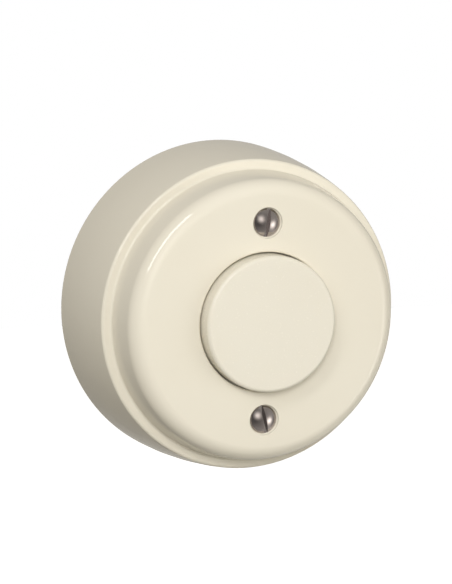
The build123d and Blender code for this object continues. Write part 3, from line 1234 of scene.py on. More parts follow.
@dataclass
class CoverScrew:
    """A raised countersunk machine screw with a straight slot."""

    finishes: Finishes
    end: End
    slot_lean: float
    head_radius: float = 2.8
    head_dome: float = 0.97
    head_edge: float = 0.12
    shank_radius: float = 1.45
    core_radius: float = 1.2
    pitch: float = 0.5
    threaded: float = 9.0
    length: float = 14.7
    slot_width: float = 0.75
    slot_depth: float = 1.0
    steps: int = 64
    dome_parts: int = 8

    def __post_init__(self) -> None:
        """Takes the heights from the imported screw."""
        self.node: str = f"cover_screw_{self.end.word}"
        low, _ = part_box(self.node)
        self.top: float = -low.y / MM
        self.rim: float = self.top - self.head_dome
        self.tip: float = self.rim - self.length

    def dome(self) -> list[Corner]:
        """Gives the corners of the head's dome, from the axis outwards and without its rim.

        Returns:
            The corners.
        """
        sphere = (self.head_radius**2 + self.head_dome**2) / (2 * self.head_dome)
        middle = self.top - sphere
        lean = math.asin(self.head_radius / sphere)
        turns = [lean * part / self.dome_parts for part in range(self.dome_parts)]
        return [Corner(sphere * math.sin(turn), middle + sphere * math.cos(turn)) for turn in turns]

    def build(self) -> None:
        """Builds and dresses the screw."""
        centre = LAYOUT.cover_screw(self.end)
        cone_foot = self.rim - (self.head_radius - self.shank_radius)
        thread_end = self.tip + self.threaded
        bm = turned(
            (
                *self.dome(),
                Corner(self.head_radius, self.rim, self.head_edge),
                Corner(self.shank_radius, cone_foot),
                Corner(self.shank_radius, thread_end + self.pitch / 2),
                Corner(self.core_radius, thread_end),
                Corner(self.core_radius, self.tip, self.pitch / 2),
                Corner(0, self.tip),
            ),
            self.steps,
            centre,
            closed=False,
        )
        size = Vector((self.slot_width, 2 * self.slot_depth, SLOT_REACH * self.head_radius))
        bm = slotted(bm, size, self.top, centre, -self.slot_lean)
        start = self.tip + self.pitch / 4
        thread = Thread(self.shank_radius, self.core_radius, self.pitch, start, thread_end)
        bm = thread.wound_on(bm, centre)
        material = self.finishes.nickel.make(centre)
        publish(bm, f"face_screw_{self.end.word}", Body.HOUSING, material, [self.node])


@dataclass
class BasePlate:
    """The dish on the wall: cable entry, posts for the cover screws and bosses for the mechanism."""

    finishes: Finishes
    radius: float = 28.55
    floor: float = 3.0
    floor_fillet: float = 0.6
    rim_height: float = 6.0
    rim_wall: float = 1.9
    entry_radius: float = 6.5
    entry_round: float = 0.8
    edge: float = 0.3
    post_radius: float = 3.6
    post_height: float = 20.0
    insert_hole_radius: float = 2.25
    insert_hole_depth: float = 7.0
    tip_hole_radius: float = 1.65
    tip_hole_foot: float = 11.25
    boss_radius: float = 3.2
    boss_hole_radius: float = 1.5
    boss_hole_depth: float = 4.05
    column_edge: float = 0.2
    column_hole_edge: float = 0.15
    wall_screw_place: float = 22.0
    wall_screw_radius: float = 2.2
    wall_screw_sink: float = 4.0
    wall_screw_angle: float = 45.0
    notch_width: float = 9.0
    notch_lift: float = 0.05
    flare: float = 0.12
    steps: int = 160
    column_steps: int = 64
    hole_steps: int = 60

    def dish(self) -> Solid:
        """Turns the dish.

        Returns:
            The dish without its holes.
        """
        inner = self.radius - self.rim_wall
        return turned(
            (
                Corner(self.entry_radius, 0, self.edge),
                Corner(self.radius, 0, self.edge),
                Corner(self.radius, self.rim_height, self.edge),
                Corner(inner, self.rim_height, self.edge),
                Corner(inner, self.floor, self.floor_fillet),
                Corner(self.entry_radius, self.floor, self.entry_round),
            ),
            self.steps,
        )

    def column(self, radius: float, top: float, hole: float, foot: float, centre: Place) -> Solid:
        """Turns a hollow column that stands on the dish, slightly wider at its foot.

        Args:
            radius: its radius at the top.
            top: the height of its top.
            hole: the radius of its hole.
            foot: the height of the hole's end.
            centre: X and Z of its axis.

        Returns:
            A closed solid.
        """
        return turned(
            (
                Corner(0, self.floor / 2),
                Corner(radius + self.flare, self.floor / 2),
                Corner(radius + self.flare, self.floor + self.flare),
                Corner(radius, top, self.column_edge),
                Corner(hole, top, self.column_hole_edge),
                Corner(hole, foot),
                Corner(0, foot),
            ),
            self.column_steps,
            centre,
            closed=False,
        )

    def wall_screw_hole(self, end: End) -> Solid:
        """Makes the tool for a countersunk wall screw hole.

        Args:
            end: the hole's end of the base.

        Returns:
            The tool.
        """
        turn = math.radians(self.wall_screw_angle)
        reach = end.value * self.wall_screw_place
        sink_foot = self.floor - (self.wall_screw_sink - self.wall_screw_radius)
        return turned(
            (
                Corner(0, -CLEAR),
                Corner(self.wall_screw_radius, -CLEAR),
                Corner(self.wall_screw_radius, sink_foot),
                Corner(self.wall_screw_sink + CLEAR, self.floor + CLEAR),
                Corner(0, self.floor + CLEAR),
            ),
            self.hole_steps,
            (reach * math.cos(turn), reach * math.sin(turn)),
            closed=False,
        )

    def notch(self, end: End) -> Solid:
        """Makes the tool for the gap in the rim where a cable comes in from the side.

        Args:
            end: where the gap is.

        Returns:
            The tool.
        """
        low = self.floor + self.notch_lift
        high = self.rim_height + CLEAR
        size = Vector((self.notch_width, high - low, 2 * self.rim_wall + CLEAR))
        return block(size, Vector((0, along_y((low + high) / 2), end.value * self.radius)))

    def build(self) -> None:
        """Builds and dresses the base plate."""
        bm = self.dish()
        insert_foot = self.post_height - self.insert_hole_depth
        boss_top = LAYOUT.cup_bottom
        boss_foot = boss_top - self.boss_hole_depth
        for end in End:
            centre = LAYOUT.cover_screw(end)
            post = self.column(
                self.post_radius, self.post_height, self.insert_hole_radius, insert_foot, centre
            )
            bm = cut(bm, post, Cut.JOIN)
            tip_hole = pin(self.tip_hole_radius, self.tip_hole_foot, insert_foot + CLEAR, centre)
            bm = cut(bm, tip_hole, Cut.AWAY)
            pillar = LAYOUT.pillar(end)
            boss = self.column(self.boss_radius, boss_top, self.boss_hole_radius, boss_foot, pillar)
            bm = cut(bm, boss, Cut.JOIN)
            bm = cut(bm, self.wall_screw_hole(end), Cut.AWAY)
            bm = cut(bm, self.notch(end), Cut.AWAY)
        publish(bm, "wall_base", Body.HOUSING, self.finishes.base.make(), ["base_plate"])


@dataclass
class ThreadInsert:
    """A knurled brass insert with a waist, pressed into a post."""

    finishes: Finishes
    end: End
    radius: float = 2.2
    chamfer: float = 0.3
    top_inset: float = 0.2
    bore: float = 1.5
    bore_chamfer: float = 0.15
    waist_depth: float = 0.35
    waist_length: float = 1.0
    waist_slope: float = 0.3
    knurl_depth: float = 0.12
    knurl_reach: float = 0.05
    teeth: int = 30

    def __post_init__(self) -> None:
        """Works out the insert's node in the frame."""
        self.node: str = f"thread_insert_{self.end.word}"

    def body(self) -> Solid:
        """Turns the insert about the Y axis, before it is knurled.

        Returns:
            A closed solid with two steps a tooth.
        """
        low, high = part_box(self.node)
        top = -low.y / MM
        foot = -high.y / MM
        middle = (top + foot) / 2
        waist = self.radius - self.waist_depth
        half = self.waist_length / 2
        return turned(
            (
                Corner(self.bore + self.bore_chamfer, foot),
                Corner(self.radius - self.chamfer, foot),
                Corner(self.radius, foot + self.chamfer),
                Corner(self.radius, middle - half - self.waist_slope),
                Corner(waist, middle - half),
                Corner(waist, middle + half),
                Corner(self.radius, middle + half + self.waist_slope),
                Corner(self.radius, top - self.chamfer),
                Corner(self.radius - self.top_inset, top),
                Corner(self.bore + self.bore_chamfer, top),
                Corner(self.bore, top - self.bore_chamfer),
                Corner(self.bore, foot + self.bore_chamfer),
            ),
            2 * self.teeth,
        )

    def build(self) -> None:
        """Builds and dresses the insert. Every second step of its outside is pressed in as a knurl."""
        bm = self.body()
        for v in bm.verts:
            out = math.hypot(v.co.x, v.co.z)
            step = round(math.atan2(v.co.z, v.co.x) / math.tau * 2 * self.teeth)
            if out > self.radius - self.knurl_reach and step % 2:
                share = (out - self.knurl_depth) / out
                v.co = Vector((v.co.x * share, v.co.y, v.co.z * share))
        centre = LAYOUT.cover_screw(self.end)
        bmesh.ops.translate(bm, verts=bm.verts[:], vec=(centre[0], 0, centre[1]))
        material = self.finishes.brass.make(centre)
        name = f"knurled_insert_{self.end.word}"
        publish(bm, name, Body.HOUSING, material, [self.node], smooth_to=20.0)


@dataclass
class Housing:
    """The dark cup with its screw pillars and a wing on each side for a terminal, and its lid."""

    finishes: Finishes
    radius: float = 14.3
    bore: float = 12.9
    bottom: float = LAYOUT.cup_bottom
    inside: float = LAYOUT.cup_inside
    top: float = 18.0
    lid_top: float = LAYOUT.lid_top
    pillar_radius: float = 3.2
    pillar_web: float = 4.6
    prism_reach: float = 5.0
    screw_hole: float = 1.65
    wing_reach: float = 23.0
    wing_width: float = 9.2
    wing_corner: float = 0.8
    cheek_thickness: float = 1.0
    cheek_height: float = 1.8
    cheek_inset: float = 0.05
    cheek_sunk: float = 0.18
    cheek_round: float = 0.2375
    strip_slot_width: float = 4.3
    strip_slot_height: float = 0.7
    strip_seat: float = 0.02
    tag_slot_thickness: float = 0.8
    tag_slot_width: float = 2.4
    spigot_hole: float = 3.0
    lid_bore: float = 8.75
    register_radius: float = 12.75
    register_wall: float = 0.85
    register_height: float = 0.8
    edge: float = 0.15
    steps: int = 128

    def outline(self) -> list[Solid]:
        """Makes upright prisms for the round middle, both pillars and the web between them.

        Returns:
            The prisms. Each reaches a little less far than the one before.
        """
        reach = self.lid_top + self.prism_reach
        prisms = [pin(self.radius, -reach, reach, AXIS, self.steps)]
        for end in End:
            reach -= CLEAR / 2
            prisms.append(pin(self.pillar_radius, -reach, reach, LAYOUT.pillar(end)))
        reach -= CLEAR / 2
        size = Vector((2 * LAYOUT.pillars, 2 * reach, self.pillar_web))
        prisms.append(block(size, Vector((0, 0, 0)), -LAYOUT.pillar_angle))
        return prisms

    def screw_holes(self, bm: Solid, low: float, high: float) -> Solid:
        """Drills the screw holes of both pillars.

        Args:
            bm: the cup or the lid.
            low: the distance of its back from the wall.
            high: the distance of its front.

        Returns:
            The drilled solid.
        """
        for end in End:
            bm = drilled(bm, self.screw_hole, low, high, LAYOUT.pillar(end))
        return bm

    def wings(self) -> Solid:
        """Makes the prism of both wings, with rounded corners.

        Returns:
            A closed solid from the cup's inside floor to well behind its back.
        """
        size = Vector((2 * self.wing_reach, 2 * self.inside, self.wing_width))
        bm = block(size, Vector((0, 0, 0)))
        bevel_edges(bm, upright_edges(bm, self.inside), self.wing_corner, segments=4)
        return bm

    def cheek(self, side: Side, end: End) -> Solid:
        """Makes one of the low cheeks that keep a terminal from turning.

        Args:
            side: the terminal's side.
            end: the terminal's end that the cheek is at.

        Returns:
            A closed solid that is sunk a little into the wing.
        """
        thickness = self.cheek_thickness - self.cheek_inset
        x, _ = LAYOUT.terminal(side)
        y = along_y(self.inside + (self.cheek_height - self.cheek_sunk) / 2)
        z = end.value * ((self.wing_width - thickness) / 2 - self.cheek_inset)
        size = Vector((LAYOUT.terminal_length, self.cheek_height + self.cheek_sunk, thickness))
        bm = block(size, Vector((x, y, z)))
        crown = [e for e in bm.edges if all(v.co.y < y for v in e.verts)]
        bevel_edges(bm, crown, self.cheek_round, segments=3)
        return bm

    def strip_slots(self, bm: Solid) -> Solid:
        """Cuts the passages of both contact strips through the wall, and the slots for their tags.

        Args:
            bm: the cup.

        Returns:
            The cup with its slots.
        """
        height = self.strip_slot_height + self.strip_seat
        size = Vector((2 * (self.radius + self.cheek_thickness), height, self.strip_slot_width))
        middle = Vector((0, along_y(self.inside - self.strip_seat + height / 2), 0))
        bm = cut(bm, block(size, middle), Cut.AWAY)
        floor = self.inside - self.bottom
        for side in Side:
            size = Vector((self.tag_slot_thickness, 2 * floor, self.tag_slot_width))
            place = Vector((side.value * LAYOUT.tags, along_y(self.bottom + floor / 2), 0))
            bm = cut(bm, block(size, place), Cut.AWAY)
        return bm

    def cup(self) -> None:
        """Builds and dresses the cup."""
        bm = slab([*self.outline(), self.wings()], self.bottom, self.top, self.edge)
        for side in Side:
            for end in End:
                bm = cut(bm, self.cheek(side, end), Cut.JOIN)
        fillet = 2 * self.edge
        hollow = chamfered_bore(self.bore, self.inside, self.top, fillet, self.steps, foot_round=fillet)
        bm = cut(bm, hollow, Cut.AWAY)
        bm = self.strip_slots(bm)
        bm = drilled(bm, self.spigot_hole, self.bottom, self.inside)
        bm = self.screw_holes(bm, self.bottom, self.top)
        material = self.finishes.dark.make()
        publish(bm, "housing_cup", Body.HOUSING, material, ["mechanism_housing"])

    def lid(self) -> None:
        """Builds and dresses the lid."""
        bm = slab(self.outline(), self.top, self.lid_top, self.edge)
        inner = self.register_radius - self.register_wall
        middle = (self.top + self.lid_top) / 2
        register_foot = self.top - self.register_height
        register = turned(
            (
                Corner(inner, middle),
                Corner(inner, register_foot, self.edge),
                Corner(self.register_radius, register_foot, self.edge),
                Corner(self.register_radius, middle),
            ),
            self.steps,
        )
        bm = cut(bm, register, Cut.JOIN)
        bore = chamfered_bore(self.lid_bore, self.top - CLEAR, self.lid_top, 2 * self.edge, self.steps)
        bm = cut(bm, bore, Cut.AWAY)
        bm = self.screw_holes(bm, self.top, self.lid_top)
        publish(bm, "guide_plate", Body.HOUSING, self.finishes.dark.make(), ["guide_lid"])

    def build(self) -> None:
        """Builds the cup and its lid."""
        self.cup()
        self.lid()


@dataclass
class Plunger:
    """The white tube that slides in the lid, with its stop flange and the spring's shoulder."""

    finishes: Finishes
    bore: float = 6.9
    radius: float = 8.6
    flange_radius: float = 11.6
    bottom: float = LAYOUT.ring_top
    flange_top: float = 17.9
    shoulder_low: float = LAYOUT.spring_top
    shoulder_high: float = 21.2
    light_hole: float = 4.6
    top: float = 26.5
    edge: float = 0.15
    fillet: float = 0.2
    spring_fillet: float = 0.1
    steps: int = 128

    def build(self) -> None:
        """Builds and dresses the plunger."""
        bm = turned(
            (
                Corner(self.bore, self.bottom, self.edge),
                Corner(self.flange_radius, self.bottom, self.edge),
                Corner(self.flange_radius, self.flange_top, self.edge),
                Corner(self.radius, self.flange_top, self.fillet),
                Corner(self.radius, self.top, self.edge),
                Corner(self.bore, self.top, self.edge),
                Corner(self.bore, self.shoulder_high, self.fillet),
                Corner(self.light_hole, self.shoulder_high, self.edge),
                Corner(self.light_hole, self.shoulder_low, self.edge),
                Corner(self.bore, self.shoulder_low, self.spring_fillet),
            ),
            self.steps,
        )
        publish(bm, "plunger_tube", Body.BUTTON, self.finishes.nylon.make(), ["plunger"])


@dataclass
class ReturnSpring:
    """The round wire spring with closed ends, built at one length; in the push it shortens as the button
    goes in.
    """

    finishes: Finishes
    radius: float = 5.9
    wire: float = 0.35
    wire_sides: int = 14
    low: float = LAYOUT.cup_inside
    high: float = LAYOUT.spring_top
    closed_turns: float = 1.0
    active_turns: float = 4.0
    closed_share: float = 1.04
    steps: int = 48
    keep: float = 0.7222

    def build(self) -> None:
        """Builds and dresses the spring."""
        bm = bmesh.new()
        place = Matrix.Translation((self.radius, along_y(self.low + self.wire), 0))
        bmesh.ops.create_circle(
            bm, cap_ends=False, segments=self.wire_sides, radius=self.wire, matrix=place
        )
        end_rise = self.closed_turns * 2 * self.wire * self.closed_share
        rise = self.high - self.low - 2 * self.wire
        stages = (
            (self.closed_turns, end_rise),
            (self.active_turns, rise - 2 * end_rise),
            (self.closed_turns, end_rise),
        )
        bm = coil(bm, stages, self.steps)
        material = self.finishes.wire.make()
        piece = publish(
            bm, "coil_spring", Body.BUTTON, material, ["return_spring"], smooth_to=50.0
        )
        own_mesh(piece)


@dataclass
class Rivet:
    """A silver contact rivet: a shank from its foot to its seat, and a head up to its domed face."""

    finishes: Finishes
    name: str
    node: str
    body: Body
    centre: Place
    foot: float
    seat: float
    face: float
    shank_radius: float = 0.78
    head_radius: float = 1.5
    head_edge: float = 0.1
    crown: float = 0.22
    crown_round: float = 0.2
    middle_share: float = 0.55
    middle_drop: float = 0.2
    steps: int = 48

    def build(self) -> None:
        """Builds and dresses the rivet."""
        out = math.copysign(self.crown, self.face - self.seat)
        bm = turned(
            (
                Corner(0, self.foot),
                Corner(self.shank_radius, self.foot),
                Corner(self.shank_radius, self.seat),
                Corner(self.head_radius, self.seat, self.head_edge),
                Corner(self.head_radius, self.face - out, self.crown_round),
                Corner(self.head_radius * self.middle_share, self.face - out * self.middle_drop),
                Corner(0, self.face),
            ),
            self.steps,
            self.centre,
            closed=False,
        )
        material = self.finishes.silver.make(self.centre)
        publish(bm, self.name, self.body, material, [self.node])


@dataclass
class Contacts:
    """The bridging ring, its two moving rivets, the two fixed rivets and their strips."""

    finishes: Finishes
    ring_radius: float = 12.2
    ring_bore: float = 7.2
    ring_low: float = 15.55
    ring_high: float = LAYOUT.ring_top
    ring_edge: float = 0.1
    ring_steps: int = 128
    place: float = 10.4
    head_height: float = 0.8
    rivet_hole: float = 0.8
    hole_sides: int = 32
    strip_low: float = LAYOUT.cup_inside
    strip_high: float = LAYOUT.strip_top
    strip_start: float = 8.4
    strip_end: float = 22.5
    strip_width: float = 4.0
    strip_corner: float = 0.5
    strip_edge: float = 0.05
    tag_width: float = 2.0
    tag_foot: float = 6.9
    tag_thickness: float = 0.4
    tag_corner: float = 0.6
    tag_sunk: float = 0.1

    def centre(self, side: Side) -> Place:
        """Gives X and Z of the rivets on one side."""
        return side.value * self.place, 0.0

    def drilled_for_rivet(self, bm: Solid, low: float, high: float, side: Side) -> Solid:
        """Drills a rivet's hole.

        Args:
            bm: the ring or a strip.
            low: the distance of its back from the wall.
            high: the distance of its front.
            side: the rivet's side.

        Returns:
            The drilled solid.
        """
        return drilled(bm, self.rivet_hole, low, high, self.centre(side), self.hole_sides)

    def ring(self) -> None:
        """Builds and dresses the ring."""
        bm = turned(
            (
                Corner(self.ring_bore, self.ring_low, self.ring_edge),
                Corner(self.ring_radius, self.ring_low, self.ring_edge),
                Corner(self.ring_radius, self.ring_high, self.ring_edge),
                Corner(self.ring_bore, self.ring_high, self.ring_edge),
            ),
            self.ring_steps,
        )
        for side in Side:
            bm = self.drilled_for_rivet(bm, self.ring_low, self.ring_high, side)
        publish(bm, "bridge_ring", Body.BUTTON, self.finishes.brass.make(), ["contact_ring"])

    def tag(self, side: Side) -> Solid:
        """Makes the solder tag that stands out behind the housing, with a rounded tip.

        Args:
            side: the strip's side.

        Returns:
            A closed solid that is sunk a little into the strip.
        """
        height = self.strip_low - self.tag_foot + self.tag_sunk
        size = Vector((self.tag_thickness, height, self.tag_width))
        bm = block(size, Vector((side.value * LAYOUT.tags, along_y(self.tag_foot + height / 2), 0)))
        near_tip = along_y(self.tag_foot + self.tag_sunk)
        tip = [e for e in bm.edges if all(v.co.y > near_tip for v in e.verts)]
        ends = [e for e in tip if abs(e.verts[0].co.x - e.verts[1].co.x) > self.tag_thickness / 2]
        bevel_edges(bm, ends, self.tag_corner, segments=4)
        return bm

    def strip(self, side: Side) -> None:
        """Builds and dresses a strip with its solder tag.

        Args:
            side: the strip's side.
        """
        size = Vector(
            (self.strip_end - self.strip_start, self.strip_high - self.strip_low, self.strip_width)
        )
        middle = side.value * (self.strip_start + self.strip_end) / 2
        bm = block(size, Vector((middle, along_y((self.strip_low + self.strip_high) / 2), 0)))
        bevel_edges(bm, upright_edges(bm, size.y / 2), self.strip_corner, segments=4)
        bm = cut(bm, self.tag(side), Cut.JOIN)
        bm = self.drilled_for_rivet(bm, self.strip_low, self.strip_high, side)
        ease(bm, self.strip_edge, segments=1)
        material = self.finishes.brass.make()
        name = f"contact_blade_{side.word}"
        node = f"contact_strip_{side.word}"
        publish(bm, name, Body.HOUSING, material, [node], smooth_to=40.0)

    def build(self) -> None:
        """Builds the ring, and the rivets and the strip on both sides."""
        self.ring()
        for side in (Side.LEFT, Side.RIGHT):
            Rivet(
                self.finishes,
                f"moving_rivet_{side.word}",
                f"moving_contact_{side.word}",
                Body.BUTTON,
                self.centre(side),
                foot=self.ring_high,
                seat=self.ring_low,
                face=self.ring_low - self.head_height,
            ).build()
            Rivet(
                self.finishes,
                f"fixed_rivet_{side.word}",
                f"fixed_contact_{side.word}",
                Body.HOUSING,
                self.centre(side),
                foot=self.strip_low,
                seat=self.strip_high,
                face=self.strip_high + self.head_height,
            ).build()
            self.strip(side)


@dataclass
class Terminal:
    """A brass block with a cross bore for the wire, and its threaded clamp screw."""

    finishes: Finishes
    side: Side
    length: float = LAYOUT.terminal_length
    width: float = 7.0
    low: float = LAYOUT.strip_top
    high: float = 17.4
    edge: float = 0.4
    corner_round: float = 0.1
    wire_bore: float = 1.15
    wire_height: float = 14.2
    screw_bore: float = 1.25
    screw_radius: float = 1.2
    core_radius: float = 0.98
    pitch: float = 0.45
    thread_inset: float = 0.1
    tip: float = 15.4
    tip_narrowing: float = 0.2
    tip_height: float = 0.25
    head_low: float = 18.6
    head_radius: float = 2.1
    head_edge: float = 0.12
    head_round: float = 0.3
    head_top: float = 20.1
    slot_width: float = 0.6
    steps: int = 48

    def __post_init__(self) -> None:
        """Works out the axis."""
        self.centre: Place = LAYOUT.terminal(self.side)

    def clamp(self) -> None:
        """Builds and dresses the block."""
        x, _ = self.centre
        height = self.high - self.low
        bm = block(Vector((self.length, height, self.width)), Vector((x, along_y(self.low + height / 2), 0)))
        near_top = along_y(self.high - self.edge / 2)
        crown = [e for e in bm.edges if all(v.co.y < near_top for v in e.verts)]
        bevel_edges(bm, crown, self.edge, segments=1)
        ease(bm, self.corner_round, segments=2)
        reach = self.width / 2 + CLEAR
        start = Vector((x, along_y(self.wire_height), -reach))
        stop = Vector((x, along_y(self.wire_height), reach))
        bm = cut(bm, rod(self.wire_bore, start, stop), Cut.AWAY)
        hole = chamfered_bore(
            self.screw_bore, self.wire_height, self.high, self.edge / 2, self.steps, self.centre
        )
        bm = cut(bm, hole, Cut.AWAY)
        material = self.finishes.brass.make(self.centre)
        name = f"wire_clamp_{self.side.word}"
        node = f"terminal_block_{self.side.word}"
        publish(bm, name, Body.HOUSING, material, [node], smooth_to=25.0)

    def screw(self) -> None:
        """Builds and dresses the clamp screw."""
        bm = turned(
            (
                Corner(0, self.tip),
                Corner(self.core_radius - self.tip_narrowing, self.tip),
                Corner(self.core_radius, self.tip + self.tip_height),
                Corner(self.core_radius, self.head_low),
                Corner(self.head_radius, self.head_low, self.head_edge),
                Corner(self.head_radius, self.head_top, self.head_round),
                Corner(0, self.head_top),
            ),
            self.steps,
            self.centre,
            closed=False,
        )
        depth = (self.head_top - self.head_low) / 2
        size = Vector((self.slot_width, 2 * depth, SLOT_REACH * self.head_radius))
        bm = slotted(bm, size, self.head_top, self.centre)
        start = self.tip + self.thread_inset
        thread = Thread(self.screw_radius, self.core_radius, self.pitch, start, self.head_low)
        bm = thread.wound_on(bm, self.centre)
        material = self.finishes.nickel.make(self.centre)
        node = f"terminal_screw_{self.side.word}"
        publish(bm, f"clamp_screw_{self.side.word}", Body.HOUSING, material, [node])

    def build(self) -> None:
        """Builds the block and its screw."""
        self.clamp()
        self.screw()


@dataclass
class HousingScrew:
    """A threaded pan head screw that holds the lid and the cup to the base."""

    finishes: Finishes
    end: End
    radius: float = 1.45
    core_radius: float = 1.2
    pitch: float = 0.5
    thread_inset: float = 0.1
    threaded_to: float = 9.5
    shank_slope: float = 0.2
    tip: float = 5.0
    tip_narrowing: float = 0.25
    tip_height: float = 0.3
    seat: float = LAYOUT.lid_top
    seat_fillet: float = 0.1
    head_radius: float = 2.8
    head_edge: float = 0.15
    head_top: float = 21.4
    head_round: float = 0.6
    slot_width: float = 0.75
    steps: int = 48

    def build(self) -> None:
        """Builds and dresses the screw."""
        centre = LAYOUT.pillar(self.end)
        bm = turned(
            (
                Corner(0, self.tip),
                Corner(self.core_radius - self.tip_narrowing, self.tip),
                Corner(self.core_radius, self.tip + self.tip_height),
                Corner(self.core_radius, self.threaded_to),
                Corner(self.radius, self.threaded_to + self.shank_slope),
                Corner(self.radius, self.seat, self.seat_fillet),
                Corner(self.head_radius, self.seat, self.head_edge),
                Corner(self.head_radius, self.head_top, self.head_round),
                Corner(0, self.head_top),
            ),
            self.steps,
            centre,
            closed=False,
        )
        depth = (self.head_top - self.seat) / 2
        size = Vector((SLOT_REACH * self.head_radius, 2 * depth, self.slot_width))
        bm = slotted(bm, size, self.head_top, centre)
        start = self.tip + self.thread_inset
        thread_end = self.threaded_to + self.thread_inset
        thread = Thread(self.radius, self.core_radius, self.pitch, start, thread_end)
        bm = thread.wound_on(bm, centre)
        material = self.finishes.nickel.make(centre)
        node = f"housing_screw_{self.end.word}"
        publish(bm, f"pan_screw_{self.end.word}", Body.HOUSING, material, [node])


@dataclass
class LampSet:
    """The holder, the small glow lamp with its electrodes and leads, and its series resistor."""

    finishes: Finishes
    inside: float = LAYOUT.cup_inside
    spigot_foot: float = 8.6
    spigot_radius: float = 2.9
    holder_radius: float = 5.0
    holder_top: float = 13.6
    holder_round: float = 0.3
    holder_edge: float = 0.1
    holder_steps: int = 96
    seat: float = 12.0
    socket_radius: float = 3.05
    socket_edge: float = 0.2
    lead_hole: float = 0.35
    lead_hole_sides: int = 20
    lead_place: float = 1.2
    lead_radius: float = 0.25
    lead_height: float = 7.4
    lead_bend: float = 1.0
    lead_rise: float = 2.4
    lead_sides: int = 16
    left_end: float = 16.3
    joint: float = 3.0
    right_end: float = 16.3
    glass_radius: float = 2.95
    glass_wall: float = 0.35
    glass_top: float = 25.4
    glass_dome: float = 2.6
    glass_round: float = 0.3
    glass_steps: int = 64
    pinch_height: float = 1.8
    pinch_slope: float = 0.6
    electrode_radius: float = 0.42
    electrode_rise: float = 2.1
    electrode_top: float = 20.5
    electrode_edge: float = 0.1
    electrode_round: float = 0.3
    electrode_steps: int = 24
    solder_place: float = 16.45
    solder_length: float = 0.85
    solder_radius: float = 0.52
    solder_sides: int = 20
    solder_rings: int = 12
    barrel_start: float = 5.2
    barrel_length: float = 6.4
    barrel_radius: float = 1.1
    barrel_round: float = 0.35
    barrel_waist: float = 0.15
    barrel_slope: float = 0.4
    barrel_bulge: float = 1.28
    barrel_steps: int = 48

    def holder(self) -> None:
        """Builds and dresses the holder."""
        bm = turned(
            (
                Corner(0, self.spigot_foot),
                Corner(self.spigot_radius, self.spigot_foot, self.holder_round),
                Corner(self.spigot_radius, self.inside),
                Corner(self.holder_radius, self.inside, self.holder_edge),
                Corner(self.holder_radius, self.holder_top, self.holder_round),
                Corner(self.socket_radius, self.holder_top, self.socket_edge),
                Corner(self.socket_radius, self.seat),
                Corner(0, self.seat),
            ),
            self.holder_steps,
            closed=False,
        )
        for side in Side:
            centre = (side.value * self.lead_place, 0)
            bm = drilled(bm, self.lead_hole, self.spigot_foot, self.seat, centre, self.lead_hole_sides)
        publish(bm, "lamp_socket", Body.HOUSING, self.finishes.nylon.make(), ["lamp_holder"])

    def glass(self) -> None:
        """Builds and dresses the glass tube."""
        inner = self.glass_radius - self.glass_wall
        inner_top = self.glass_top - self.glass_wall
        pinch = self.seat + self.pinch_height
        bm = turned(
            (
                Corner(0, self.seat),
                Corner(self.glass_radius, self.seat, self.glass_round),
                Corner(self.glass_radius, self.glass_top, self.glass_dome),
                Corner(0, self.glass_top),
            ),
            self.glass_steps,
            closed=False,
        )
        hollow = turned(
            (
                Corner(0, pinch),
                Corner(inner, pinch + self.pinch_slope, self.glass_round),
                Corner(inner, inner_top, self.glass_dome - self.glass_wall),
                Corner(0, inner_top),
            ),
            self.glass_steps,
            closed=False,
        )
        bm = cut(bm, hollow, Cut.AWAY)
        publish(bm, "lamp_glass", Body.HOUSING, self.finishes.glass.make(), ["glow_lamp"])

    def wires(self) -> None:
        """Builds and dresses the electrodes with their leads."""
        bm = bmesh.new()
        lead = Wire(self.lead_radius, self.lead_bend)
        foot = self.seat + self.electrode_rise
        for side, end in ((Side.LEFT, self.left_end), (Side.RIGHT, self.joint)):
            x = side.value * self.lead_place
            path = [
                Vector((x, along_y(self.seat + self.lead_rise), 0)),
                Vector((x, along_y(self.lead_height), 0)),
                Vector((side.value * end, along_y(self.lead_height), 0)),
            ]
            bm = gather(bm, lead.along(path))
            electrode = (
                Corner(0, foot),
                Corner(self.electrode_radius, foot, self.electrode_edge),
                Corner(self.electrode_radius, self.electrode_top, self.electrode_round),
                Corner(0, self.electrode_top),
            )
            bm = gather(bm, turned(electrode, self.electrode_steps, (x, 0), closed=False))
        publish(bm, "lamp_electrodes", Body.HOUSING, self.finishes.nickel.make())

    def solder(self) -> None:
        """Builds and dresses the solder where the leads meet each other and the tags."""
        bm = bmesh.new()
        shape = Matrix.Diagonal((self.solder_length, self.solder_radius, self.solder_radius, 1))
        for x in (-self.solder_place, self.joint, self.solder_place):
            place = Matrix.Translation((x, along_y(self.lead_height), 0))
            bmesh.ops.create_uvsphere(
                bm,
                u_segments=self.solder_sides,
                v_segments=self.solder_rings,
                radius=1.0,
                matrix=place @ shape,
            )
        publish(bm, "solder_joints", Body.HOUSING, self.finishes.solder.make())

    def barrel(self) -> Solid:
        """Turns the resistor's waisted barrel and lays it along X.

        Returns:
            A closed solid.
        """
        end = self.barrel_start + self.barrel_length
        waist = self.barrel_radius - self.barrel_waist
        bm = turned(
            (
                Corner(0, self.barrel_start),
                Corner(self.barrel_radius, self.barrel_start, self.barrel_round),
                Corner(self.barrel_radius, self.barrel_start + self.barrel_bulge),
                Corner(waist, self.barrel_start + self.barrel_bulge + self.barrel_slope),
                Corner(waist, end - self.barrel_bulge - self.barrel_slope),
                Corner(self.barrel_radius, end - self.barrel_bulge),
                Corner(self.barrel_radius, end, self.barrel_round),
                Corner(0, end),
            ),
            self.barrel_steps,
            closed=False,
        )
        turn = Matrix.Translation((0, along_y(self.lead_height), 0)) @ Matrix.Rotation(math.pi / 2, 4, "Z")
        bmesh.ops.transform(bm, matrix=turn, verts=bm.verts[:])
        bmesh.ops.recalc_face_normals(bm, faces=bm.faces[:])
        return bm

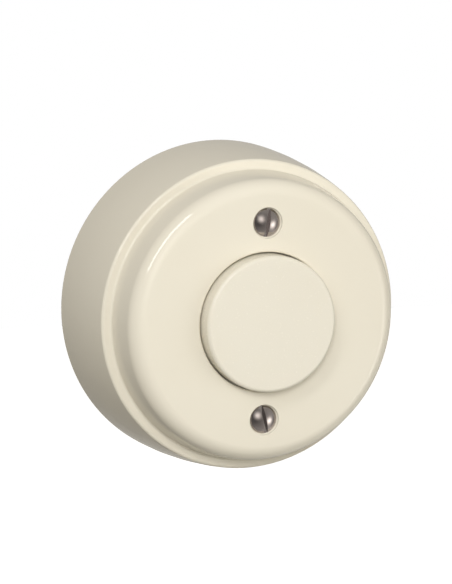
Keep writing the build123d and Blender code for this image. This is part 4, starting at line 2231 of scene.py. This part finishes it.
    def resistor(self) -> None:
        """Builds and dresses the resistor's barrel and its leads."""
        material = self.finishes.lacquer.make()
        publish(
            self.barrel(), "resistor_barrel", Body.HOUSING, material, ["lamp_resistor"]
        )
        start = Vector((self.joint, along_y(self.lead_height), 0))
        stop = Vector((self.right_end, along_y(self.lead_height), 0))
        leads = rod(self.lead_radius, start, stop, self.lead_sides)
        publish(leads, "resistor_leads", Body.HOUSING, self.finishes.nickel.make())

    def build(self) -> None:
        """Builds the holder, the lamp and the resistor."""
        self.holder()
        self.glass()
        self.wires()
        self.solder()
        self.resistor()


@dataclass(frozen=True)
class Way:
    """A direction from the push: azimuth from the front and elevation, in degrees."""

    azimuth: float
    elevation: float

    def vector(self) -> Vector:
        """Gives the direction.

        Returns:
            A unit vector.
        """
        turn = math.radians(self.azimuth)
        tilt = math.radians(self.elevation)
        return Vector((math.sin(turn) * math.cos(tilt), -math.cos(turn) * math.cos(tilt), math.sin(tilt)))


@dataclass(frozen=True)
class PhotoCamera:
    """The photograph's viewpoint.

    Angles are in degrees and lengths in millimetres. The focal length is in pixels of the frame.
    """

    way: Way = Way(-22.36, 9.63)
    distance: float = 600.0
    roll: float = 0.98
    target_height: float = 15.0
    aim_left: float = 2.994
    aim_up: float = 3.789
    focal_pixels: float = 3079.87
    frame_height_pixels: float = 584.0
    sensor: float = 36.0
    nearest: float = 10.0

    def build(self) -> None:
        """Places the camera."""
        turn = math.radians(self.way.azimuth)
        back = self.way.vector()
        right = Vector((math.cos(turn), math.sin(turn), 0))
        up = back.cross(right)
        roll = math.radians(self.roll)
        right, up = (
            math.cos(roll) * right + math.sin(roll) * up,
            -math.sin(roll) * right + math.cos(roll) * up,
        )
        target = self.target_height * FRONT
        spot = target + self.distance * back
        aim = target - self.aim_left * right + self.aim_up * up
        back = (spot - aim).normalized()
        up = back.cross(right).normalized()
        right = up.cross(back)
        data = bpy.data.cameras.new("photo_camera")
        data.sensor_fit = "VERTICAL"
        data.sensor_height = self.sensor
        data.lens = self.focal_pixels * self.sensor / self.frame_height_pixels
        data.clip_start = self.nearest * MM
        camera = bpy.data.objects.new("photo_camera", data)
        turn_to = Matrix((right, up, back)).transposed().to_4x4()
        camera.matrix_world = Matrix.Translation(spot * MM) @ turn_to
        bpy.context.scene.collection.objects.link(camera)
        bpy.context.scene.camera = camera


@dataclass(frozen=True)
class Lamp:
    """A rectangular soft box that looks at the middle of the push.

    The roll is in degrees, and lengths are in metres.
    """

    name: str
    way: Way
    width: float
    height: float
    radiance: float
    roll: float = 0.0
    distance: float = 1.2
    mirrored: bool = True

    def build(self) -> None:
        """Places the lamp. Its power follows from the radiance and its area."""
        back = self.way.vector()
        data = bpy.data.lights.new(self.name, "AREA")
        data.shape = "RECTANGLE"
        data.size = self.width
        data.size_y = self.height
        data.energy = self.radiance * math.pi * self.width * self.height
        lamp = bpy.data.objects.new(self.name, data)
        lamp.location = back * self.distance
        lean = Matrix.Rotation(math.radians(self.roll), 4, back)
        lamp.rotation_euler = (lean @ back.to_track_quat("Z", "Y").to_matrix().to_4x4()).to_euler()
        lamp.visible_glossy = self.mirrored
        lamp.visible_camera = False
        bpy.context.scene.collection.objects.link(lamp)


@dataclass(frozen=True)
class Glow:
    """A soft bright patch of the room: its middle, its strength and how tight it is."""

    way: Way
    strength: float
    focus: float

    def level(self, graph: Graph, spot: Socket) -> Socket:
        """Adds the patch to the room's graph.

        Args:
            graph: the room's graph.
            spot: the direction that is looked at.

        Returns:
            The patch's strength in that direction.
        """
        facing = graph.add("ShaderNodeVectorMath", {0: spot, 1: self.way.vector()}, operation="DOT_PRODUCT")
        share = graph.add(
            "ShaderNodeMapRange", {"Value": facing.outputs["Value"], "From Min": -1.0, "From Max": 1.0}
        )
        tight = graph.add("ShaderNodeMath", {0: share.outputs["Result"], 1: self.focus}, operation="POWER")
        level = graph.add("ShaderNodeMath", {0: tight.outputs[0], 1: self.strength}, operation="MULTIPLY")
        return level.outputs[0]


@dataclass(frozen=True)
class Studio:
    """The pale room: its lamps, a soft fill, a white ground behind the push, and a floor.

    Polished surfaces see a room of one level that bright patches lift and dark ones lower.
    """

    soft_box: Lamp = Lamp("soft_box", Way(-21.0, 21.0), 0.51, 0.51, 10.75, mirrored=False)
    strip: Lamp = Lamp("strip", Way(-46.5, 37.0), 0.80, 0.21, 7.0, roll=64.0)
    back_fill: Lamp = Lamp("back_fill", Way(180.0, 0.0), 0.12, 0.12, 25.0, mirrored=False)
    around: Colour = (0.182, 0.166, 0.137)
    fill_tint: Colour = (1.0, 0.995, 0.965)
    fill_glow: Glow = Glow(Way(48.0, -16.5), 8.0, 30.0)
    bright_window: Glow = Glow(Way(48.0, -16.0), 2.2, 80.0)
    bright_backdrop: Glow = Glow(Way(170.0, 40.0), 0.3, 5.0)
    bright_front: Glow = Glow(Way(-14.0, 12.0), 1.6, 60.0)
    bright_corner: Glow = Glow(Way(115.0, -45.0), 0.7, 12.0)
    dark_front: Glow = Glow(Way(-22.36, 9.63), 1.0, 10.0)
    dark_side: Glow = Glow(Way(80.0, -18.0), 0.8, 40.0)
    dark_corner: Glow = Glow(Way(-70.0, -40.0), 0.3, 5.0)
    mirrored_room: float = 0.36
    mirrored_tint: Colour = (1.0, 0.95, 0.86)
    ground: Colour = (1.0, 1.0, 1.0)
    floor_drop: float = 0.25
    floor_size: float = 3.0
    floor_shade: Colour = (0.85, 0.85, 0.85)
    floor_bounce: Colour = (0.33, 0.315, 0.27)
    floor_lift: float = 0.90

    def total(self, graph: Graph, spot: Socket, glows: Sequence[Glow]) -> Socket:
        """Adds up patches of the room.

        Args:
            graph: the room's graph.
            spot: the direction that is looked at.
            glows: the patches.

        Returns:
            Their sum in that direction.
        """
        levels = [glow.level(graph, spot) for glow in glows]
        while len(levels) > 1:
            pair = graph.add("ShaderNodeMath", {0: levels.pop(), 1: levels.pop()}, operation="ADD")
            levels.append(pair.outputs[0])
        return levels[0]

    def reflected(self, graph: Graph, spot: Socket) -> Socket:
        """Gives the level of the room that polished surfaces see.

        Args:
            graph: the room's graph.
            spot: the direction that is looked at.

        Returns:
            The level in that direction.
        """
        dark = self.total(graph, spot, (self.dark_front, self.dark_side, self.dark_corner))
        shaded = graph.add(
            "ShaderNodeMapRange", {"Value": dark, "To Min": self.mirrored_room, "To Max": 0.0}
        )
        bright = self.total(
            graph, spot, (self.bright_window, self.bright_backdrop, self.bright_front, self.bright_corner)
        )
        return graph.add("ShaderNodeMath", {0: shaded.outputs[0], 1: bright}, operation="ADD").outputs[0]

    def sky(self) -> None:
        """Lights the room, and shows white behind the push and through its glass."""
        world = bpy.data.worlds.new("studio")
        world.use_nodes = True
        bpy.context.scene.world = world
        graph = Graph(world.node_tree)
        spot = graph.add("ShaderNodeTexCoord").outputs["Generated"]

        def lit(tint: Colour, strength: float | Socket) -> Socket:
            """Adds a light of one tint."""
            sockets = {"Color": (*tint, 1), "Strength": strength}
            return graph.add("ShaderNodeBackground", sockets).outputs[0]

        def mixed(factor: Socket, first: Socket, second: Socket) -> Socket:
            """Mixes two lights by a kind of ray."""
            return graph.add("ShaderNodeMixShader", {0: factor, 1: first, 2: second}).outputs[0]

        fill = lit(self.fill_tint, self.fill_glow.level(graph, spot))
        soft = graph.add("ShaderNodeAddShader", {0: fill, 1: lit(self.around, 1.0)}).outputs[0]
        polish = lit(self.mirrored_tint, self.reflected(graph, spot))
        path = graph.add("ShaderNodeLightPath").outputs
        seen = graph.add(
            "ShaderNodeMath", {0: path["Is Camera Ray"], 1: path["Is Transmission Ray"]}, operation="MAXIMUM"
        )
        room = mixed(path["Is Glossy Ray"], soft, polish)
        surface = mixed(seen.outputs[0], room, lit(self.ground, 1.0))
        graph.add("ShaderNodeOutputWorld", {"Surface": surface})

    def floor(self) -> None:
        """Lays a pale floor below the push, which keeps its shadow."""
        bm = bmesh.new()
        low, _ = CAD_BOX
        bmesh.ops.create_grid(
            bm,
            x_segments=1,
            y_segments=1,
            size=self.floor_size / 2,
            matrix=Matrix.Translation((0, 0, low.z - self.floor_drop)),
        )
        floor = to_object(bm, "floor")
        material, graph = new_material("pale_floor")
        seen = graph.add("ShaderNodeLightPath").outputs["Is Camera Ray"]
        shade = graph.blend(seen, self.floor_bounce, self.floor_shade)
        paint = graph.add("ShaderNodeBsdfDiffuse", {"Color": shade})
        lifted = graph.add("ShaderNodeMath", {0: seen, 1: self.floor_lift}, operation="MULTIPLY")
        lift = graph.add("ShaderNodeEmission", {"Color": (*self.ground, 1), "Strength": lifted.outputs[0]})
        both = graph.add("ShaderNodeAddShader", {0: paint.outputs[0], 1: lift.outputs[0]})
        graph.add("ShaderNodeOutputMaterial", {"Surface": both.outputs[0]})
        floor.data.materials.append(material)
        floor.visible_glossy = False

    def build(self) -> None:
        """Builds the room and its lamps, and sets how colours are shown."""
        self.sky()
        self.floor()
        for lamp in (self.soft_box, self.strip, self.back_fill):
            lamp.build()
        bpy.context.scene.view_settings.view_transform = "Standard"


def main() -> None:
    """Builds the bell push and its studio."""
    finishes = Finishes()
    PhotoCamera().build()
    Studio().build()
    Cover(finishes).build()
    Button(finishes).build()
    CoverScrew(finishes, End.UPPER, slot_lean=-7.0).build()
    CoverScrew(finishes, End.LOWER, slot_lean=13.0).build()
    BasePlate(finishes).build()
    for end in End:
        ThreadInsert(finishes, end).build()
    Housing(finishes).build()
    Plunger(finishes).build()
    ReturnSpring(finishes).build()
    Contacts(finishes).build()
    for side in (Side.LEFT, Side.RIGHT):
        Terminal(finishes, side).build()
    for end in End:
        HousingScrew(finishes, end).build()
    LampSet(finishes).build()


if __name__ == "__main__":
    main()
